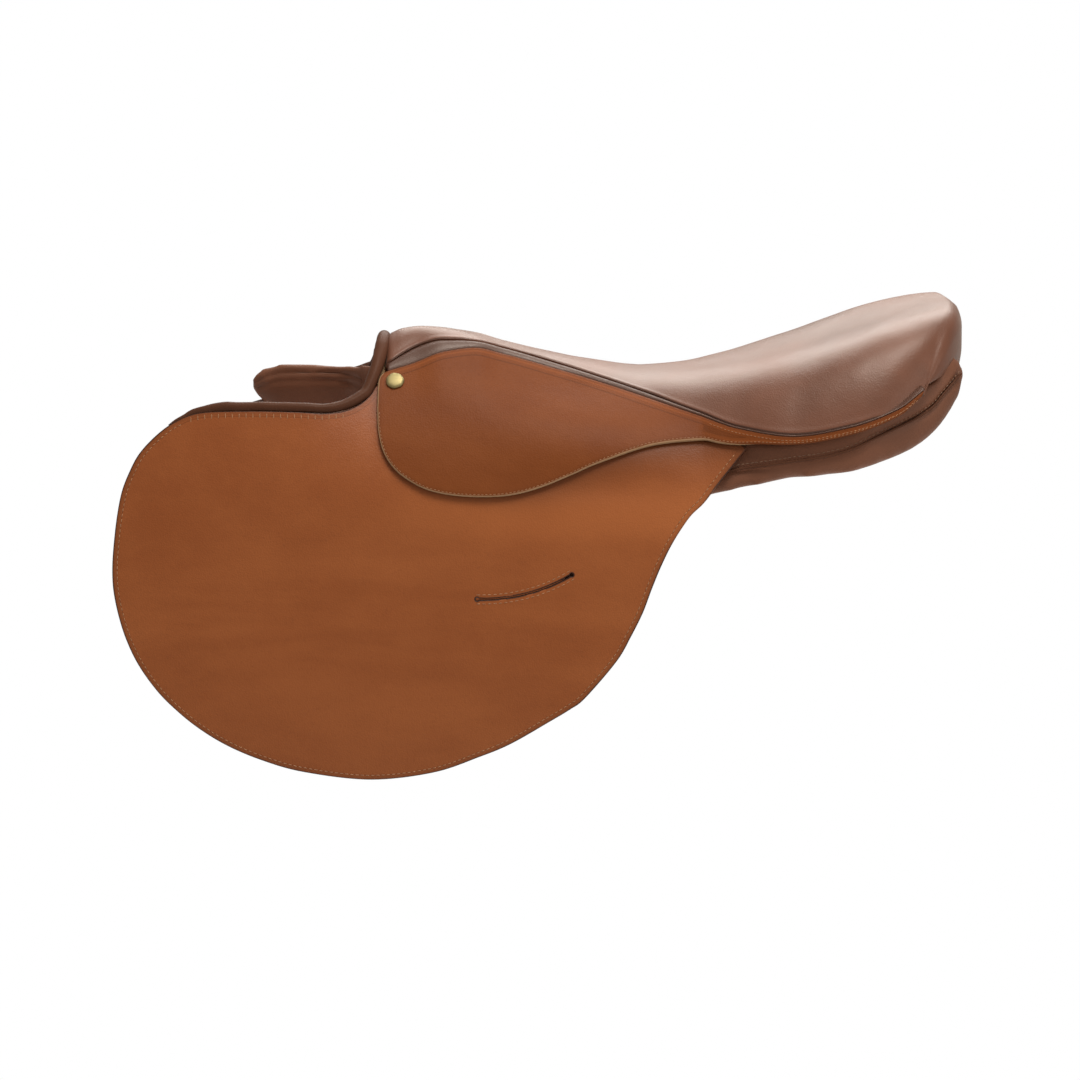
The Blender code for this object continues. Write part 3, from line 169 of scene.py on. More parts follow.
SKIRT_BEND_WIDTHS = (float(raw_side(*SKIRT_BEND_FRONT)), float(raw_side(*SKIRT_BEND_REAR)))


def side(x, z):
    """Half width of the saddle's outer face."""
    x, z = np.asarray(x, float), np.asarray(z, float)
    offset = z - skirt_bend_height(x)
    offset = np.clip(offset / np.where(offset > 0, BLEND_ABOVE, BLEND_BELOW), -1, 1)
    x0, x1 = SKIRT_BEND_FRONT[0], SKIRT_BEND_REAR[0]
    inside = np.clip(x, x0, x1)
    fade = 1 - np.minimum(np.abs(x - inside) / BLEND_ABOVE, 1.0)
    straight = mix(*SKIRT_BEND_WIDTHS, (inside - x0) / (x1 - x0))
    push = straight - raw_side(inside, skirt_bend_height(inside))
    return raw_side(x, z) + push * (1 - offset * offset) ** 2 * fade * fade


def slopes(x, z):
    e = 0.001
    return ((side(x + e, z) - side(x - e, z)) / (2 * e), (side(x, z + e) - side(x, z - e)) / (2 * e))


def layer(x, z, depth):
    """Half width of a face that lies depth inside the outer face."""
    dx, dz = slopes(x, z)
    return side(x, z) - depth * np.sqrt(1 + dx * dx + dz * dz)


def on_side(x, z, sign, drawn_at, deeper=0.0):
    """Points on the side, drawn at a depth in the plane of X and Z, then moved in along the normal."""
    x, z = np.asarray(x, float), np.asarray(z, float)
    dx, dz = slopes(x, z)
    normal = unit(np.stack([-dx, np.ones_like(dx), -dz], -1))
    points = np.stack([x, layer(x, z, drawn_at), z], -1) - normal * np.asarray(deeper, float)[..., None]
    points[..., 1] *= sign
    return points


def laid(line, sign, drawn_at, deeper=STITCH_LIFT):
    """Points of a flat line on the side, as a row of stitches lies there."""
    return on_side(line[:, 0], line[:, 1], sign, drawn_at, deeper)


def catmull(points, spacing):
    """Smooth open line through points, sampled at an even spacing."""
    points = np.array(points, float)
    padded = np.vstack([2 * points[0] - points[1], points, 2 * points[-1] - points[-2]])
    line = []
    for i in range(1, len(padded) - 2):
        a, b, c, d = padded[i - 1:i + 3]
        for t in np.linspace(0, 1, 12, endpoint=False):
            line.append(0.5 * (2 * b + (c - a) * t + (2 * a - 5 * b + 4 * c - d) * t * t
                               + (3 * b - a - 3 * c + d) * t ** 3))
    line.append(points[-1])
    return even(np.array(line), spacing)


def even(line, spacing):
    """The line with its points at an even spacing."""
    gaps = np.linalg.norm(np.diff(line, axis=0), axis=1)
    length = np.concatenate([[0], np.cumsum(gaps)])
    count = max(int(round(length[-1] / spacing)), 1)
    at = np.linspace(0, length[-1], count + 1)
    return np.stack([np.interp(at, length, line[:, k]) for k in range(line.shape[1])], -1)


def distance_to(points, line, closed=True):
    """Distance of each point to a line of segments."""
    start, end = (line, np.roll(line, -1, axis=0)) if closed else (line[:-1], line[1:])
    best = np.full(len(points), 1e9)
    for a, b in zip(start, end):
        along = b - a
        t = np.clip(((points - a) @ along) / max(along @ along, 1e-18), 0, 1)
        gap = points - (a + t[:, None] * along)
        best = np.minimum(best, np.sqrt((gap * gap).sum(1)))
    return best


def inside_of(points, ring):
    """Whether each flat point lies inside a closed ring."""
    x, y = points[:, 0], points[:, 1]
    inside = np.zeros(len(points), bool)
    for a, b in zip(ring, np.roll(ring, -1, axis=0)):
        crosses = (a[1] > y) != (b[1] > y)
        if b[1] != a[1]:
            inside ^= crosses & (x < (b[0] - a[0]) * (y - a[1]) / (b[1] - a[1]) + a[0])
    return inside


def inset(ring, distance):
    """Closed ring moved inwards."""
    following = np.roll(ring, -1, axis=0)
    before, after = ring - np.roll(ring, 1, axis=0), following - ring
    for way in (before, after):
        way /= np.maximum(np.linalg.norm(way, axis=1, keepdims=True), 1e-12)
    turn = np.sign((ring[:, 0] * following[:, 1] - following[:, 0] * ring[:, 1]).sum())
    inward = left_of(before + after) * turn
    size = np.maximum(np.linalg.norm(inward, axis=1, keepdims=True), 1e-9)
    return ring + inward / size * distance / np.maximum(size / 2, 0.6)


def placed(name, mesh):
    """New object in the scene for a mesh."""
    obj = bpy.data.objects.new(name, mesh)
    bpy.context.scene.collection.objects.link(obj)
    return obj


def write_attribute(mesh, key, values):
    target = mesh.attributes.get(key) or mesh.attributes.new(key, 'FLOAT', 'POINT')
    target.data.foreach_set("value", np.asarray(values, np.float32))


def read_points(mesh, key="co"):
    values = np.empty(len(mesh.vertices) * 3)
    mesh.vertices.foreach_get(key, values)
    return values.reshape(-1, 3)


def new_object(name, vertices, faces, attributes=None):
    mesh = bpy.data.meshes.new(name)
    mesh.from_pydata([tuple(v) for v in vertices], [], faces)
    for key, values in (attributes or {}).items():
        write_attribute(mesh, key, values)
    mesh.validate()
    mesh.shade_smooth()
    return placed(name, mesh)


def edited(obj, change):
    """The object after one change to its mesh by bmesh."""
    bm = bmesh.new()
    bm.from_mesh(obj.data)
    change(bm)
    bm.to_mesh(obj.data)
    bm.free()
    return obj


def outward_faces(obj):
    """Turns the faces of a closed mesh outwards."""
    return edited(obj, lambda bm: bmesh.ops.recalc_face_normals(bm, faces=bm.faces))


EDGE_RINGS = (0.0002, 0.0006, 0.0012, 0.002, 0.0034, 0.0052)


def plate(name, outline, holes, sign, drawn_at, thickness, pitch, round_radius=0.0011):
    """Cut piece of leather on the saddle's side, from its outline in X and Z.

    The mesh carries each point's distance to the cut edge, which the leather's dye and crease follow.
    """
    points, edges, start = [outline, *holes], [], 0
    for ring in (outline, *holes):
        count = len(ring)
        edges += [(start + i, start + (i + 1) % count) for i in range(count)]
        start += count
    for depth in EDGE_RINGS:
        near = inset(outline, depth)
        points.append(near[(distance_to(near, outline) > depth * 0.7) & inside_of(near, outline)])
    points += [inset(hole, -depth) for hole in holes for depth in EDGE_RINGS[:3]]
    low, high = outline.min(0), outline.max(0)
    xs, zs = np.meshgrid(np.arange(low[0], high[0], pitch), np.arange(low[1], high[1], pitch * 0.87))
    xs[1::2] += pitch / 2
    grid = np.stack([xs.ravel(), zs.ravel()], -1)
    clear = inside_of(grid, outline) & (distance_to(grid, outline) > EDGE_RINGS[-1] + pitch * 0.5)
    for hole in holes:
        clear &= ~inside_of(grid, hole) & (distance_to(grid, hole) > EDGE_RINGS[2] + pitch * 0.4)
    flat = np.vstack([*points, grid[clear]]) * 1000.0
    solved = geometry.delaunay_2d_cdt([Vector(p) for p in flat], edges, [], 0, 1e-4, False)
    flat = np.array([tuple(v) for v in solved[0]]) / 1000.0
    faces = np.array([tuple(f) for f in solved[2]])
    middle = flat[faces].mean(axis=1)
    kept = inside_of(middle, outline)
    gap = shade_gap = distance_to(flat, outline)
    for hole in holes:
        kept &= ~inside_of(middle, hole)
        to_hole = distance_to(flat, hole)
        gap = np.minimum(gap, to_hole)
        shade_gap = np.where(to_hole < 0.0022, np.minimum(shade_gap, to_hole), shade_gap)
    faces = [tuple(int(i) for i in face) for face in faces[kept]]
    inner = np.clip(1 - gap / round_radius, 0, 1)
    drop = round_radius * (1 - np.sqrt(1 - inner * inner))
    vertices = np.vstack([laid(flat, sign, drawn_at, depth) for depth in (drop, thickness - drop)])
    count = len(flat)
    border = {(a, b): None for face in faces for a, b in zip(face, face[1:] + face[:1])}
    walls = [(a, b, b + count, a + count) for a, b in border if (b, a) not in border]
    back = [tuple(i + count for i in reversed(face)) for face in faces]
    return outward_faces(new_object(name, vertices, faces + back + walls, {"edge": np.tile(shade_gap, 2)}))


def ring_mesh(name, rings, cap=True, attributes=None):
    """Mesh over closed rings of points, laid one after another, with its faces outwards."""
    rings = np.asarray(rings)
    n, m = rings.shape[:2]
    faces = [(i * m + j, i * m + (j + 1) % m, (i + 1) * m + (j + 1) % m, (i + 1) * m + j)
             for i in range(n - 1) for j in range(m)]
    if cap:
        faces += [tuple(reversed(range(m))), tuple(range((n - 1) * m, n * m))]
    return outward_faces(new_object(name, rings.reshape(-1, 3), faces, attributes))


def tube(name, path, radii, sides=20, up=(0, 0, 1)):
    """Round tube along a path."""
    path, radii = np.asarray(path, float), np.asarray(radii)[:, None, None]
    along = unit(np.gradient(path, axis=0))
    axis = np.cross(np.broadcast_to(np.array(up, float), along.shape), along)
    axis /= np.maximum(np.linalg.norm(axis, axis=1, keepdims=True), 1e-9)
    turn = np.linspace(0, 2 * math.pi, sides, endpoint=False)[None, :, None]
    rings = (path[:, None] + axis[:, None] * np.cos(turn) * radii
             + np.cross(along, axis)[:, None] * np.sin(turn) * radii)
    return ring_mesh(name, rings)


# Leathers, cloths, metals and thread

def add_node(tree, kind, inputs=(), **settings):
    """New node with its settings; each input is a (key, number or socket) pair."""
    node = tree.nodes.new(kind)
    for key, item in settings.items():
        setattr(node, key, item)
    for key, item in inputs:
        item = item.socket if isinstance(item, Value) else item
        if isinstance(item, bpy.types.NodeSocket):
            tree.links.new(item, node.inputs[key])
        else:
            node.inputs[key].default_value = item
    return node


class Value:
    """A socket of a material's tree, on which sums can be written."""

    def __init__(self, tree, socket):
        self.tree, self.socket = tree, socket

    def math(self, operation, *others):
        node = add_node(self.tree, "ShaderNodeMath", enumerate((self, *others)), operation=operation)
        return Value(self.tree, node.outputs[0])

    def __add__(self, other):
        return self.math('ADD', other)

    def __sub__(self, other):
        return self.math('SUBTRACT', other)

    def __mul__(self, other):
        return self.math('MULTIPLY', other)

    def larger(self, other):
        return self.math('MAXIMUM', other)

    def step(self, low, high, start=0.0, end=1.0):
        """Smooth step from start to end while this value goes from low to high."""
        inputs = (("Value", self), ("From Min", low), ("From Max", high), ("To Min", start),
                  ("To Max", end))
        node = add_node(self.tree, "ShaderNodeMapRange", inputs, interpolation_type='SMOOTHSTEP')
        return Value(self.tree, node.outputs["Result"])

    def bell(self, centre, width):
        """1 at the centre, falling to 0 at width on each side."""
        return (self - centre).math('ABSOLUTE').step(0.0, width, 1.0, 0.0)


class Finish:
    """A material under construction: a Principled shader, its tree and its patterns."""

    def __init__(self, name, roughness, metallic=0.0, coat=0.0, coat_roughness=0.3, specular=0.5,
                 sheen=0.0):
        self.material = bpy.data.materials.new(name)
        self.material.use_nodes = True
        self.tree = self.material.node_tree
        self.shader = self.tree.nodes["Principled BSDF"]
        for key, number in (("Roughness", roughness), ("Metallic", metallic), ("Coat Weight", coat),
                            ("Coat Roughness", coat_roughness), ("Specular IOR Level", specular),
                            ("Sheen Weight", sheen)):
            self.shader.inputs[key].default_value = number
        self.coordinates = self.tree.nodes.new("ShaderNodeTexCoord").outputs["Object"]

    def node(self, kind, output, inputs=(), stretch=None, **settings):
        """Output of a new node, laid over the object's stretched space where stretch is given."""
        if stretch:
            space = add_node(self.tree, "ShaderNodeMapping",
                             [("Scale", stretch), ("Vector", self.coordinates)])
            inputs = [*inputs, ("Vector", space.outputs["Vector"])]
        return Value(self.tree, add_node(self.tree, kind, inputs, **settings).outputs[output])

    def attribute(self, name):
        return self.node("ShaderNodeAttribute", "Fac", attribute_name=name)

    def noise(self, scale, detail=3.0, roughness=0.55, stretch=(1, 1, 1), distortion=0.0):
        inputs = [("Scale", scale), ("Detail", detail), ("Roughness", roughness),
                  ("Distortion", distortion)]
        return self.node("ShaderNodeTexNoise", "Fac", inputs, stretch)

    def cells(self, scale):
        return self.node("ShaderNodeTexVoronoi", "Distance", [("Scale", scale)], (1, 1, 1))

    def wave(self, scale, direction):
        return self.node("ShaderNodeTexWave", "Fac", [("Scale", scale)], (1, 1, 1),
                         bands_direction=direction)

    def feed(self, key, value):
        self.tree.links.new(value.socket, self.shader.inputs[key])

    def paint(self, color, *coats):
        """Base colour from a first colour and the coats over it; each coat is (factor, colour)."""
        for factor, tone in coats:
            pair = [(slot, (*item, 1.0) if isinstance(item, tuple) else item)
                    for slot, item in ((6, color), (7, tone))]
            color = self.node("ShaderNodeMix", 2, [("Factor", factor), *pair], data_type='RGBA')
        self.feed("Base Color", color)

    def dull(self, cloud, middle, *ends, speck, amount):
        """Roughness that the clouds carry between two ends and the specks break up."""
        base = cloud.step(*middle, *ends)
        self.feed("Roughness", base + (speck - 0.5) * amount)

    def bump(self, *layers):
        """Bumps laid one over another; each layer is (height, strength, distance)."""
        below = []
        for height, strength, distance in layers:
            inputs = [("Strength", strength), ("Distance", distance), ("Height", height), *below]
            below = [("Normal", self.node("ShaderNodeBump", "Normal", inputs))]
        self.feed(*below[0])
        return self.material


def shade(color, factor, red=1.0):
    return (min(color[0] * factor * red, 1.0), color[1] * factor, color[2] * factor / red)


def cut_leather(name, color, dye, roughness, crease_at, bead=None, rub=0.55, specular=0.2, painted_flap_light_and_nail_wear=False):
    """Thick leather with a dyed, rubbed edge and a crease along it."""
    finish = Finish(name, roughness, coat=0.02, coat_roughness=0.35, specular=specular)
    cloud = finish.noise(6.0, 4.0, 0.6, stretch=(0.55, 1.0, 1.5), distortion=0.6)
    patch = finish.noise(24.0, 5.0, 0.65)
    speck = finish.noise(420.0, 2.0, 0.6)
    streak = finish.noise(16.0, 3.0, 0.5, stretch=(1.0, 1.0, 3.2))
    edge = finish.attribute("edge")
    ragged = edge + (patch - 0.5) * 0.0012
    coats = [(cloud.step(0.3, 0.7), shade(color, 1.15, 0.97)),
             (patch.step(0.36, 0.74) * 0.42, shade(color, 1.22, 0.95)),
             (streak.step(0.45, 0.8) * 0.3, shade(color, 0.74, 1.08)),
             (speck.step(0.55, 0.75) * 0.16, shade(color, 0.55)),
             (ragged.step(0.001, 0.0046, rub, 0.0), shade(color, 0.58)),
             (ragged.step(0.0004, 0.0013, 1.0, 0.0), dye)]
    # The flap's painted highlight band and painted shadow under the skirt's edge
    if painted_flap_light_and_nail_wear:
        coats += [(finish.attribute("pale") * 0.55, shade(color, 1.55, 0.93)),
                  (finish.attribute("under") * 0.8, shade(color, 0.34))]
    # Dark line along the crease: painted shade in its groove
    crease = edge.bell(crease_at, 0.0006)
    if bead is None:
        coats.append((crease * 0.55, shade(color, 0.42)))
    else:
        here = finish.attribute("bead")
        crease = crease * here
        # Painted shade in the crease, then a lighter line at the bead as painted highlight
        coats += [(crease * 0.55, shade(color, 0.42)),
                  (edge.bell(bead, 0.001) * here * 0.5, shade(color, 1.5))]
    finish.paint(shade(color, 0.84, 1.06), *coats)
    finish.dull(cloud, (0.25, 0.75), roughness - 0.05, roughness + 0.07, speck=speck, amount=0.16)
    return finish.bump((finish.noise(130.0, 3.0, 0.5), 0.2, 0.001), (finish.cells(760.0), 0.3, 0.0004),
                       (finish.noise(1500.0, 2.0, 0.7), 0.22, 0.0003), (crease, -0.6, 0.0006))


def soft_leather(name, color, roughness, coat, wear, seam=None, specular=0.3, sheen=0.0):
    """Thin hide drawn over padding."""
    finish = Finish(name, roughness, coat=coat, coat_roughness=0.38, specular=specular, sheen=sheen)
    for key, tint in (("Coat Tint", (1.0, 0.9, 0.82, 1.0)), ("Specular Tint", (1.0, 0.9, 0.82, 1.0)),
                      ("Sheen Tint", (1.0, 0.86, 0.74, 1.0)), ("Sheen Roughness", 0.42)):
        finish.shader.inputs[key].default_value = tint
    cloud = finish.noise(9.0, 4.0, 0.6)
    coats = [(cloud.step(0.3, 0.72), shade(color, 1.18)),
             (finish.noise(46.0, 4.0, 0.6).step(0.5, 0.8) * wear, shade(color, 1.9, 1.02))]
    fine = finish.noise(700.0, 2.0, 0.7)
    layers = [(finish.noise(95.0, 3.0, 0.55), 0.16, 0.0012), (finish.cells(900.0), 0.26, 0.00035),
              (fine, 0.18, 0.0003)]
    if seam is not None:
        # Dark line along the attribute's line: painted shade in a seam's groove and at a hem's edge
        line = finish.attribute(seam)
        coats.append((line.step(0.0, 0.0016, 0.75, 0.0), shade(color, 0.35)))
        layers.append((line.step(0.0, 0.0014), 0.7, 0.001))
    finish.paint(shade(color, 0.82), *coats)
    finish.dull(cloud, (0.25, 0.75), roughness - 0.05, roughness + 0.06, speck=fine, amount=0.14)
    return finish.bump(*layers)


def thread_material(name, color):
    finish = Finish(name, 0.62, sheen=0.2)
    twist = finish.noise(2600.0, 2.0, 0.6, stretch=(1, 1, 0.4))
    finish.paint(shade(color, 0.72), (twist.step(0.35, 0.7), shade(color, 1.2)))
    return finish.bump((twist, 0.5, 0.0002))


def webbing_material(name, color):
    finish = Finish(name, 0.85, sheen=0.25)
    weave = finish.wave(260.0, 'Y').larger(finish.wave(260.0, 'X'))
    dirt = finish.noise(40.0, 4.0, 0.6)
    finish.paint(shade(color, 0.55), (weave.step(0.2, 0.9), shade(color, 1.08)),
                 (dirt.step(0.45, 0.75) * 0.4, shade(color, 0.6)))
    return finish.bump((weave, 0.7, 0.0006), (dirt, 0.2, 0.0008))


def wool_material(name, color):
    finish = Finish(name, 0.95, sheen=0.5)
    fluff = finish.noise(160.0, 5.0, 0.75)
    finish.paint(shade(color, 0.7), (fluff.step(0.3, 0.7), shade(color, 1.1)))
    return finish.bump((fluff, 0.8, 0.002))


def wood_material(name, color):
    finish = Finish(name, 0.55, coat=0.08)
    rings = finish.noise(26.0, 4.0, 0.6, stretch=(0.12, 1.0, 1.0), distortion=0.8)
    line = finish.noise(420.0, 2.0, 0.6, stretch=(0.05, 1.0, 1.0))
    finish.paint(shade(color, 0.75), (rings.step(0.3, 0.7), shade(color, 1.15)),
                 (line.step(0.5, 0.7) * 0.4, shade(color, 0.5)))
    return finish.bump((line, 0.3, 0.0003))


def metal_material(name, color, roughness, dull=0.35):
    finish = Finish(name, roughness, metallic=1.0)
    cloud = finish.noise(60.0, 5.0, 0.65)
    scratch = finish.noise(900.0, 2.0, 0.6, stretch=(0.06, 1.0, 1.0))
    finish.paint(shade(color, 1.06), (cloud.step(0.42, 0.72) * dull, shade(color, 0.55)))
    finish.dull(cloud, (0.3, 0.75), roughness - 0.06, roughness + 0.16, speck=scratch, amount=0.12)
    return finish.bump((cloud, 0.12, 0.0005), (scratch, 0.1, 0.0002))


MATERIALS = {}


def material(name):
    """The saddle's materials, each made once from the colours in the panel."""
    if not MATERIALS:
        hide = bpy.context.scene.saddle_hides
        flap, skirt, seat, panel, raw, dye, thread = (
            tuple(getattr(hide, key)) for key in SADDLE_PG_hides.__annotations__)
        MATERIALS.update({
            # The flap's leather carries a painted highlight band and a painted skirt shadow
            "flap": cut_leather("flap_leather_finish", flap, dye, 0.5, 0.004, painted_flap_light_and_nail_wear=True),
            "skirt": cut_leather("skirt_leather_finish", shade(skirt, 0.84), raw, 0.5, 0.0062, bead=0.0036,
                                 rub=0.3, specular=0.08),
            "strap": cut_leather("strap_leather_finish", shade(panel, 1.1), shade(panel, 0.4), 0.45, 0.0022),
            "seat": soft_leather("seat_leather_finish", seat, 0.42, 0.14, 0.12, "hem", 0.46, 0.08),
            "panel": soft_leather("panel_leather_finish", panel, 0.48, 0.03, 0.1, "seam", 0.25),
            "roll": soft_leather("roll_leather_finish", shade(panel, 0.53), 0.42, 0.01, 0.12, specular=0.07),
            "thread": thread_material("thread_finish", thread),
            "dark_thread": thread_material("dark_thread_finish", shade(thread, 0.42)),
            "web": webbing_material("webbing_finish", (0.45, 0.38, 0.26)),
            "foam": wool_material("seat_padding_finish", (0.62, 0.52, 0.36)),
            "wood": wood_material("beech_finish", (0.42, 0.25, 0.12)),
            "steel": metal_material("steel_finish", (0.55, 0.55, 0.56), 0.32),
            "brass": metal_material("brass_finish", (0.3, 0.245, 0.115), 0.56, 0.22),
        })
    return MATERIALS[name]


def dress(obj, material_name):
    obj.data.materials.clear()
    obj.data.materials.append(material(material_name))
    return obj


# Geometry Nodes: stitches along a line

def stitch_tree():
    """Tree that lays one stitch at each pitch along a line."""
    tree = bpy.data.node_groups.new("Stitch Run", 'GeometryNodeTree')
    face = tree.interface
    for way in ('INPUT', 'OUTPUT'):
        face.new_socket("Geometry", in_out=way, socket_type='NodeSocketGeometry')
    for label in ("Pitch", "Stitch Length", "Thread Radius"):
        socket = face.new_socket(label, in_out='INPUT', socket_type='NodeSocketFloat')
        socket.subtype = 'DISTANCE'
    face.new_socket("Thread", in_out='INPUT', socket_type='NodeSocketMaterial')
    given = tree.nodes.new("NodeGroupInput").outputs

    def first(kind, inputs=(), **settings):
        return add_node(tree, kind, inputs, **settings).outputs[0]

    line = first("GeometryNodeMeshToCurve", [("Mesh", given["Geometry"])])
    points = first("GeometryNodeResampleCurve", [("Curve", line), ("Length", given["Pitch"])],
                   mode='LENGTH')
    ball = first("GeometryNodeMeshUVSphere", [("Segments", 6), ("Rings", 5), ("Radius", 1.0)])
    half = first("ShaderNodeMath", [(0, given["Stitch Length"]), (1, 0.5)], operation='MULTIPLY')
    radius = given["Thread Radius"]
    size = first("ShaderNodeCombineXYZ", [("X", half), ("Y", radius), ("Z", radius)])
    stitch = first("GeometryNodeTransform", [("Geometry", ball), ("Scale", size)])
    tangent = first("GeometryNodeInputTangent")
    turn = first("FunctionNodeAlignRotationToVector", [("Vector", tangent)], axis='X')
    row = first("GeometryNodeInstanceOnPoints", [("Points", points), ("Instance", stitch),
                                                 ("Rotation", turn)])
    real = first("GeometryNodeRealizeInstances", [("Geometry", row)])
    dyed = first("GeometryNodeSetMaterial", [("Geometry", real), ("Material", given["Thread"])])
    add_node(tree, "NodeGroupOutput", [("Geometry", dyed)])
    return tree


def stitches(name, lines, thread="thread", pitch=None, radius=None):
    """Rows of stitches along lines of points, as one plain mesh."""
    settings = bpy.context.scene.saddle_stitching
    pitch = pitch or settings.pitch
    vertices, edges = [], []
    for points in lines:
        start = len(vertices)
        vertices += [tuple(p) for p in points]
        edges += [(start + i, start + i + 1) for i in range(len(points) - 1)]
    mesh = bpy.data.meshes.new(name + "_line")
    mesh.from_pydata(vertices, edges, [])
    source = placed(name + "_line", mesh)
    modifier = source.modifiers.new("stitches", 'NODES')
    modifier.node_group = tree = bpy.data.node_groups.get("Stitch Run") or stitch_tree()
    values = {"Pitch": pitch, "Stitch Length": pitch * settings.fill,
              "Thread Radius": radius or settings.radius, "Thread": material(thread)}
    for item in tree.interface.items_tree:
        if item.item_type == 'SOCKET' and item.in_out == 'INPUT' and item.name in values:
            modifier[item.identifier] = values[item.name]
    return plain_copy(source, name)


def plain_copy(source, name):
    """The evaluated object as a plain mesh; the source goes."""
    graph = bpy.context.evaluated_depsgraph_get()
    mesh = bpy.data.meshes.new_from_object(source.evaluated_get(graph))
    mesh.name = name
    result = placed(name, mesh)
    bpy.data.objects.remove(source, do_unlink=True)
    mesh.shade_smooth()
    return result


def finish_piece(obj, body, slot, *nodes):
    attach(obj, body)
    if nodes:
        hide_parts(*nodes)
    return obj


def bend(hide, rows, label, kind):
    """Blends a hide and its stitches across the hide's bend line."""
    for piece in (hide, rows):
        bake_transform(piece)
    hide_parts(f"{label}_{kind}", f"{label}_{kind}_lobe")


# Flaps

TOP_LINE = [
    (-0.2018, 0.085), (-0.2045, 0.083), (-0.2075, 0.0785), (-0.2151, 0.073), (-0.2263, 0.069),
    (-0.2412, 0.068), (-0.2598, 0.0695), (-0.2898, 0.0705), (-0.3239, 0.0705), (-0.3389, 0.069),
    (-0.3502, 0.065), (-0.3615, 0.0585), (-0.3729, 0.0489), (-0.3821, 0.0385), (-0.3883, 0.0274),
    (-0.3945, 0.0126), (-0.3984, -0.005), (-0.4013, -0.027), (-0.4027, -0.045)]
BOTTOM_LINE = [
    (-0.4022, -0.0619), (-0.3988, -0.0808), (-0.3932, -0.0999), (-0.3845, -0.1192), (-0.372, -0.138),
    (-0.3594, -0.152), (-0.3415, -0.1677), (-0.3196, -0.182), (-0.293, -0.1939), (-0.26, -0.2035),
    (-0.2086, -0.2091), (-0.16, -0.2025), (-0.124, -0.189), (-0.1, -0.178), (-0.07, -0.1595),
    (-0.0552, -0.15), (-0.0439, -0.141), (-0.02, -0.1118), (-0.0093, -0.0927), (-0.0004, -0.0744),
    (0.0063, -0.0563), (0.0137, -0.0383), (0.0227, -0.0205), (0.0346, -0.0028), (0.045, 0.0073),
    (0.0555, 0.0205), (0.0665, 0.0335), (0.0768, 0.046)]
NOTCH = (-0.15, -0.062, 0.03)


def droop(x, sign):
    """How far the off flap's front part is drawn below the near flap's."""
    return OFF_FLAP_DROOP * ease((DROOP_START - x) / DROOP_RUN) if sign > 0 else 0.0 * x


def hidden_edge(stations):
    """Stretch of the flap's upper edge that the skirt covers."""
    return [(x, mix(0.084, 0.049, ease((x + 0.2018) / 0.2786))) for x in stations]


def flap_outline(sign, spacing=0.0025):
    """Closed outline of a flap, its visible stretch first."""
    top, bottom = np.array(TOP_LINE), np.array(BOTTOM_LINE)
    top[:, 1] -= droop(top[:, 0], sign)
    bottom[:, 1] -= droop(bottom[:, 0], sign) * ease((-0.3 - bottom[:, 0]) / 0.1)
    shown = catmull(np.vstack([top, bottom]), spacing)
    front, rear, height = NOTCH
    hidden = [*hidden_edge([0.076, 0.04, 0.0, -0.03, rear]), (rear, height), (front, height),
              *hidden_edge([front, -0.175, -0.195])]
    hidden = even(np.array(hidden, float), spacing)
    return np.vstack([shown, hidden[1:]]), len(shown)


def slit_line(count=15):
    """Middle line of the slit, a shallow arc on a slope."""
    t = np.linspace(-1, 1, count)
    along, sag = t * SLIT_HALF_LENGTH, 0.005 * (t * t - 1) + 0.003
    return np.stack([SLIT_MIDDLE[0] + along * math.cos(SLIT_SLOPE) - sag * math.sin(SLIT_SLOPE),
                     SLIT_MIDDLE[1] + along * math.sin(SLIT_SLOPE) + sag * math.cos(SLIT_SLOPE)], -1)


def slit_outline():
    """Narrow curved slit with a round punch at each end."""
    line = slit_line()
    along = unit(np.gradient(line, axis=0))
    half = np.full((len(line), 1), SLIT_HALF_WIDTH)
    half[[0, -1]] = SLIT_END_HALF_WIDTH
    ring, upper = list(line - left_of(along) * half), line + left_of(along) * half
    for end, way in ((-1, 1), (0, -1)):
        centre = line[end] + along[end] * way * 0.001
        start = math.atan2(along[end][1] * way, along[end][0] * way)
        ring += [centre + PUNCH_RADIUS * np.array([math.cos(start + turn), math.sin(start + turn)])
                 for turn in np.linspace(-1.9, 1.9, 9)]
        if end == -1:
            ring += list(upper[::-1])
    return np.array(ring)


def offset_open(line, distance):
    """Open flat line moved to its left."""
    return line + left_of(unit(np.gradient(line, axis=0))) * distance


def painted_skirt_shadow(x, z):
    """1 beneath the skirt, fading out below its lower edge, where the leather stays darker."""
    line = np.array(sorted(SKIRT_BOTTOM))
    below = np.interp(x, line[:, 0], line[:, 1]) - z
    reach = mix(0.0045, 0.0165, ease((x + 0.15) / 0.13))
    return np.exp(-(np.maximum(below, 0) / reach) ** 1.4) * ease((x - line[0, 0] + 0.01) / 0.02)


def painted_highlight_band(x, z):
    """The paler band that rubbing leaves across the flap below the skirt."""
    return np.exp(-np.abs((z + 0.004) / 0.019) ** 2.4) * ease((x + 0.2) / 0.13)


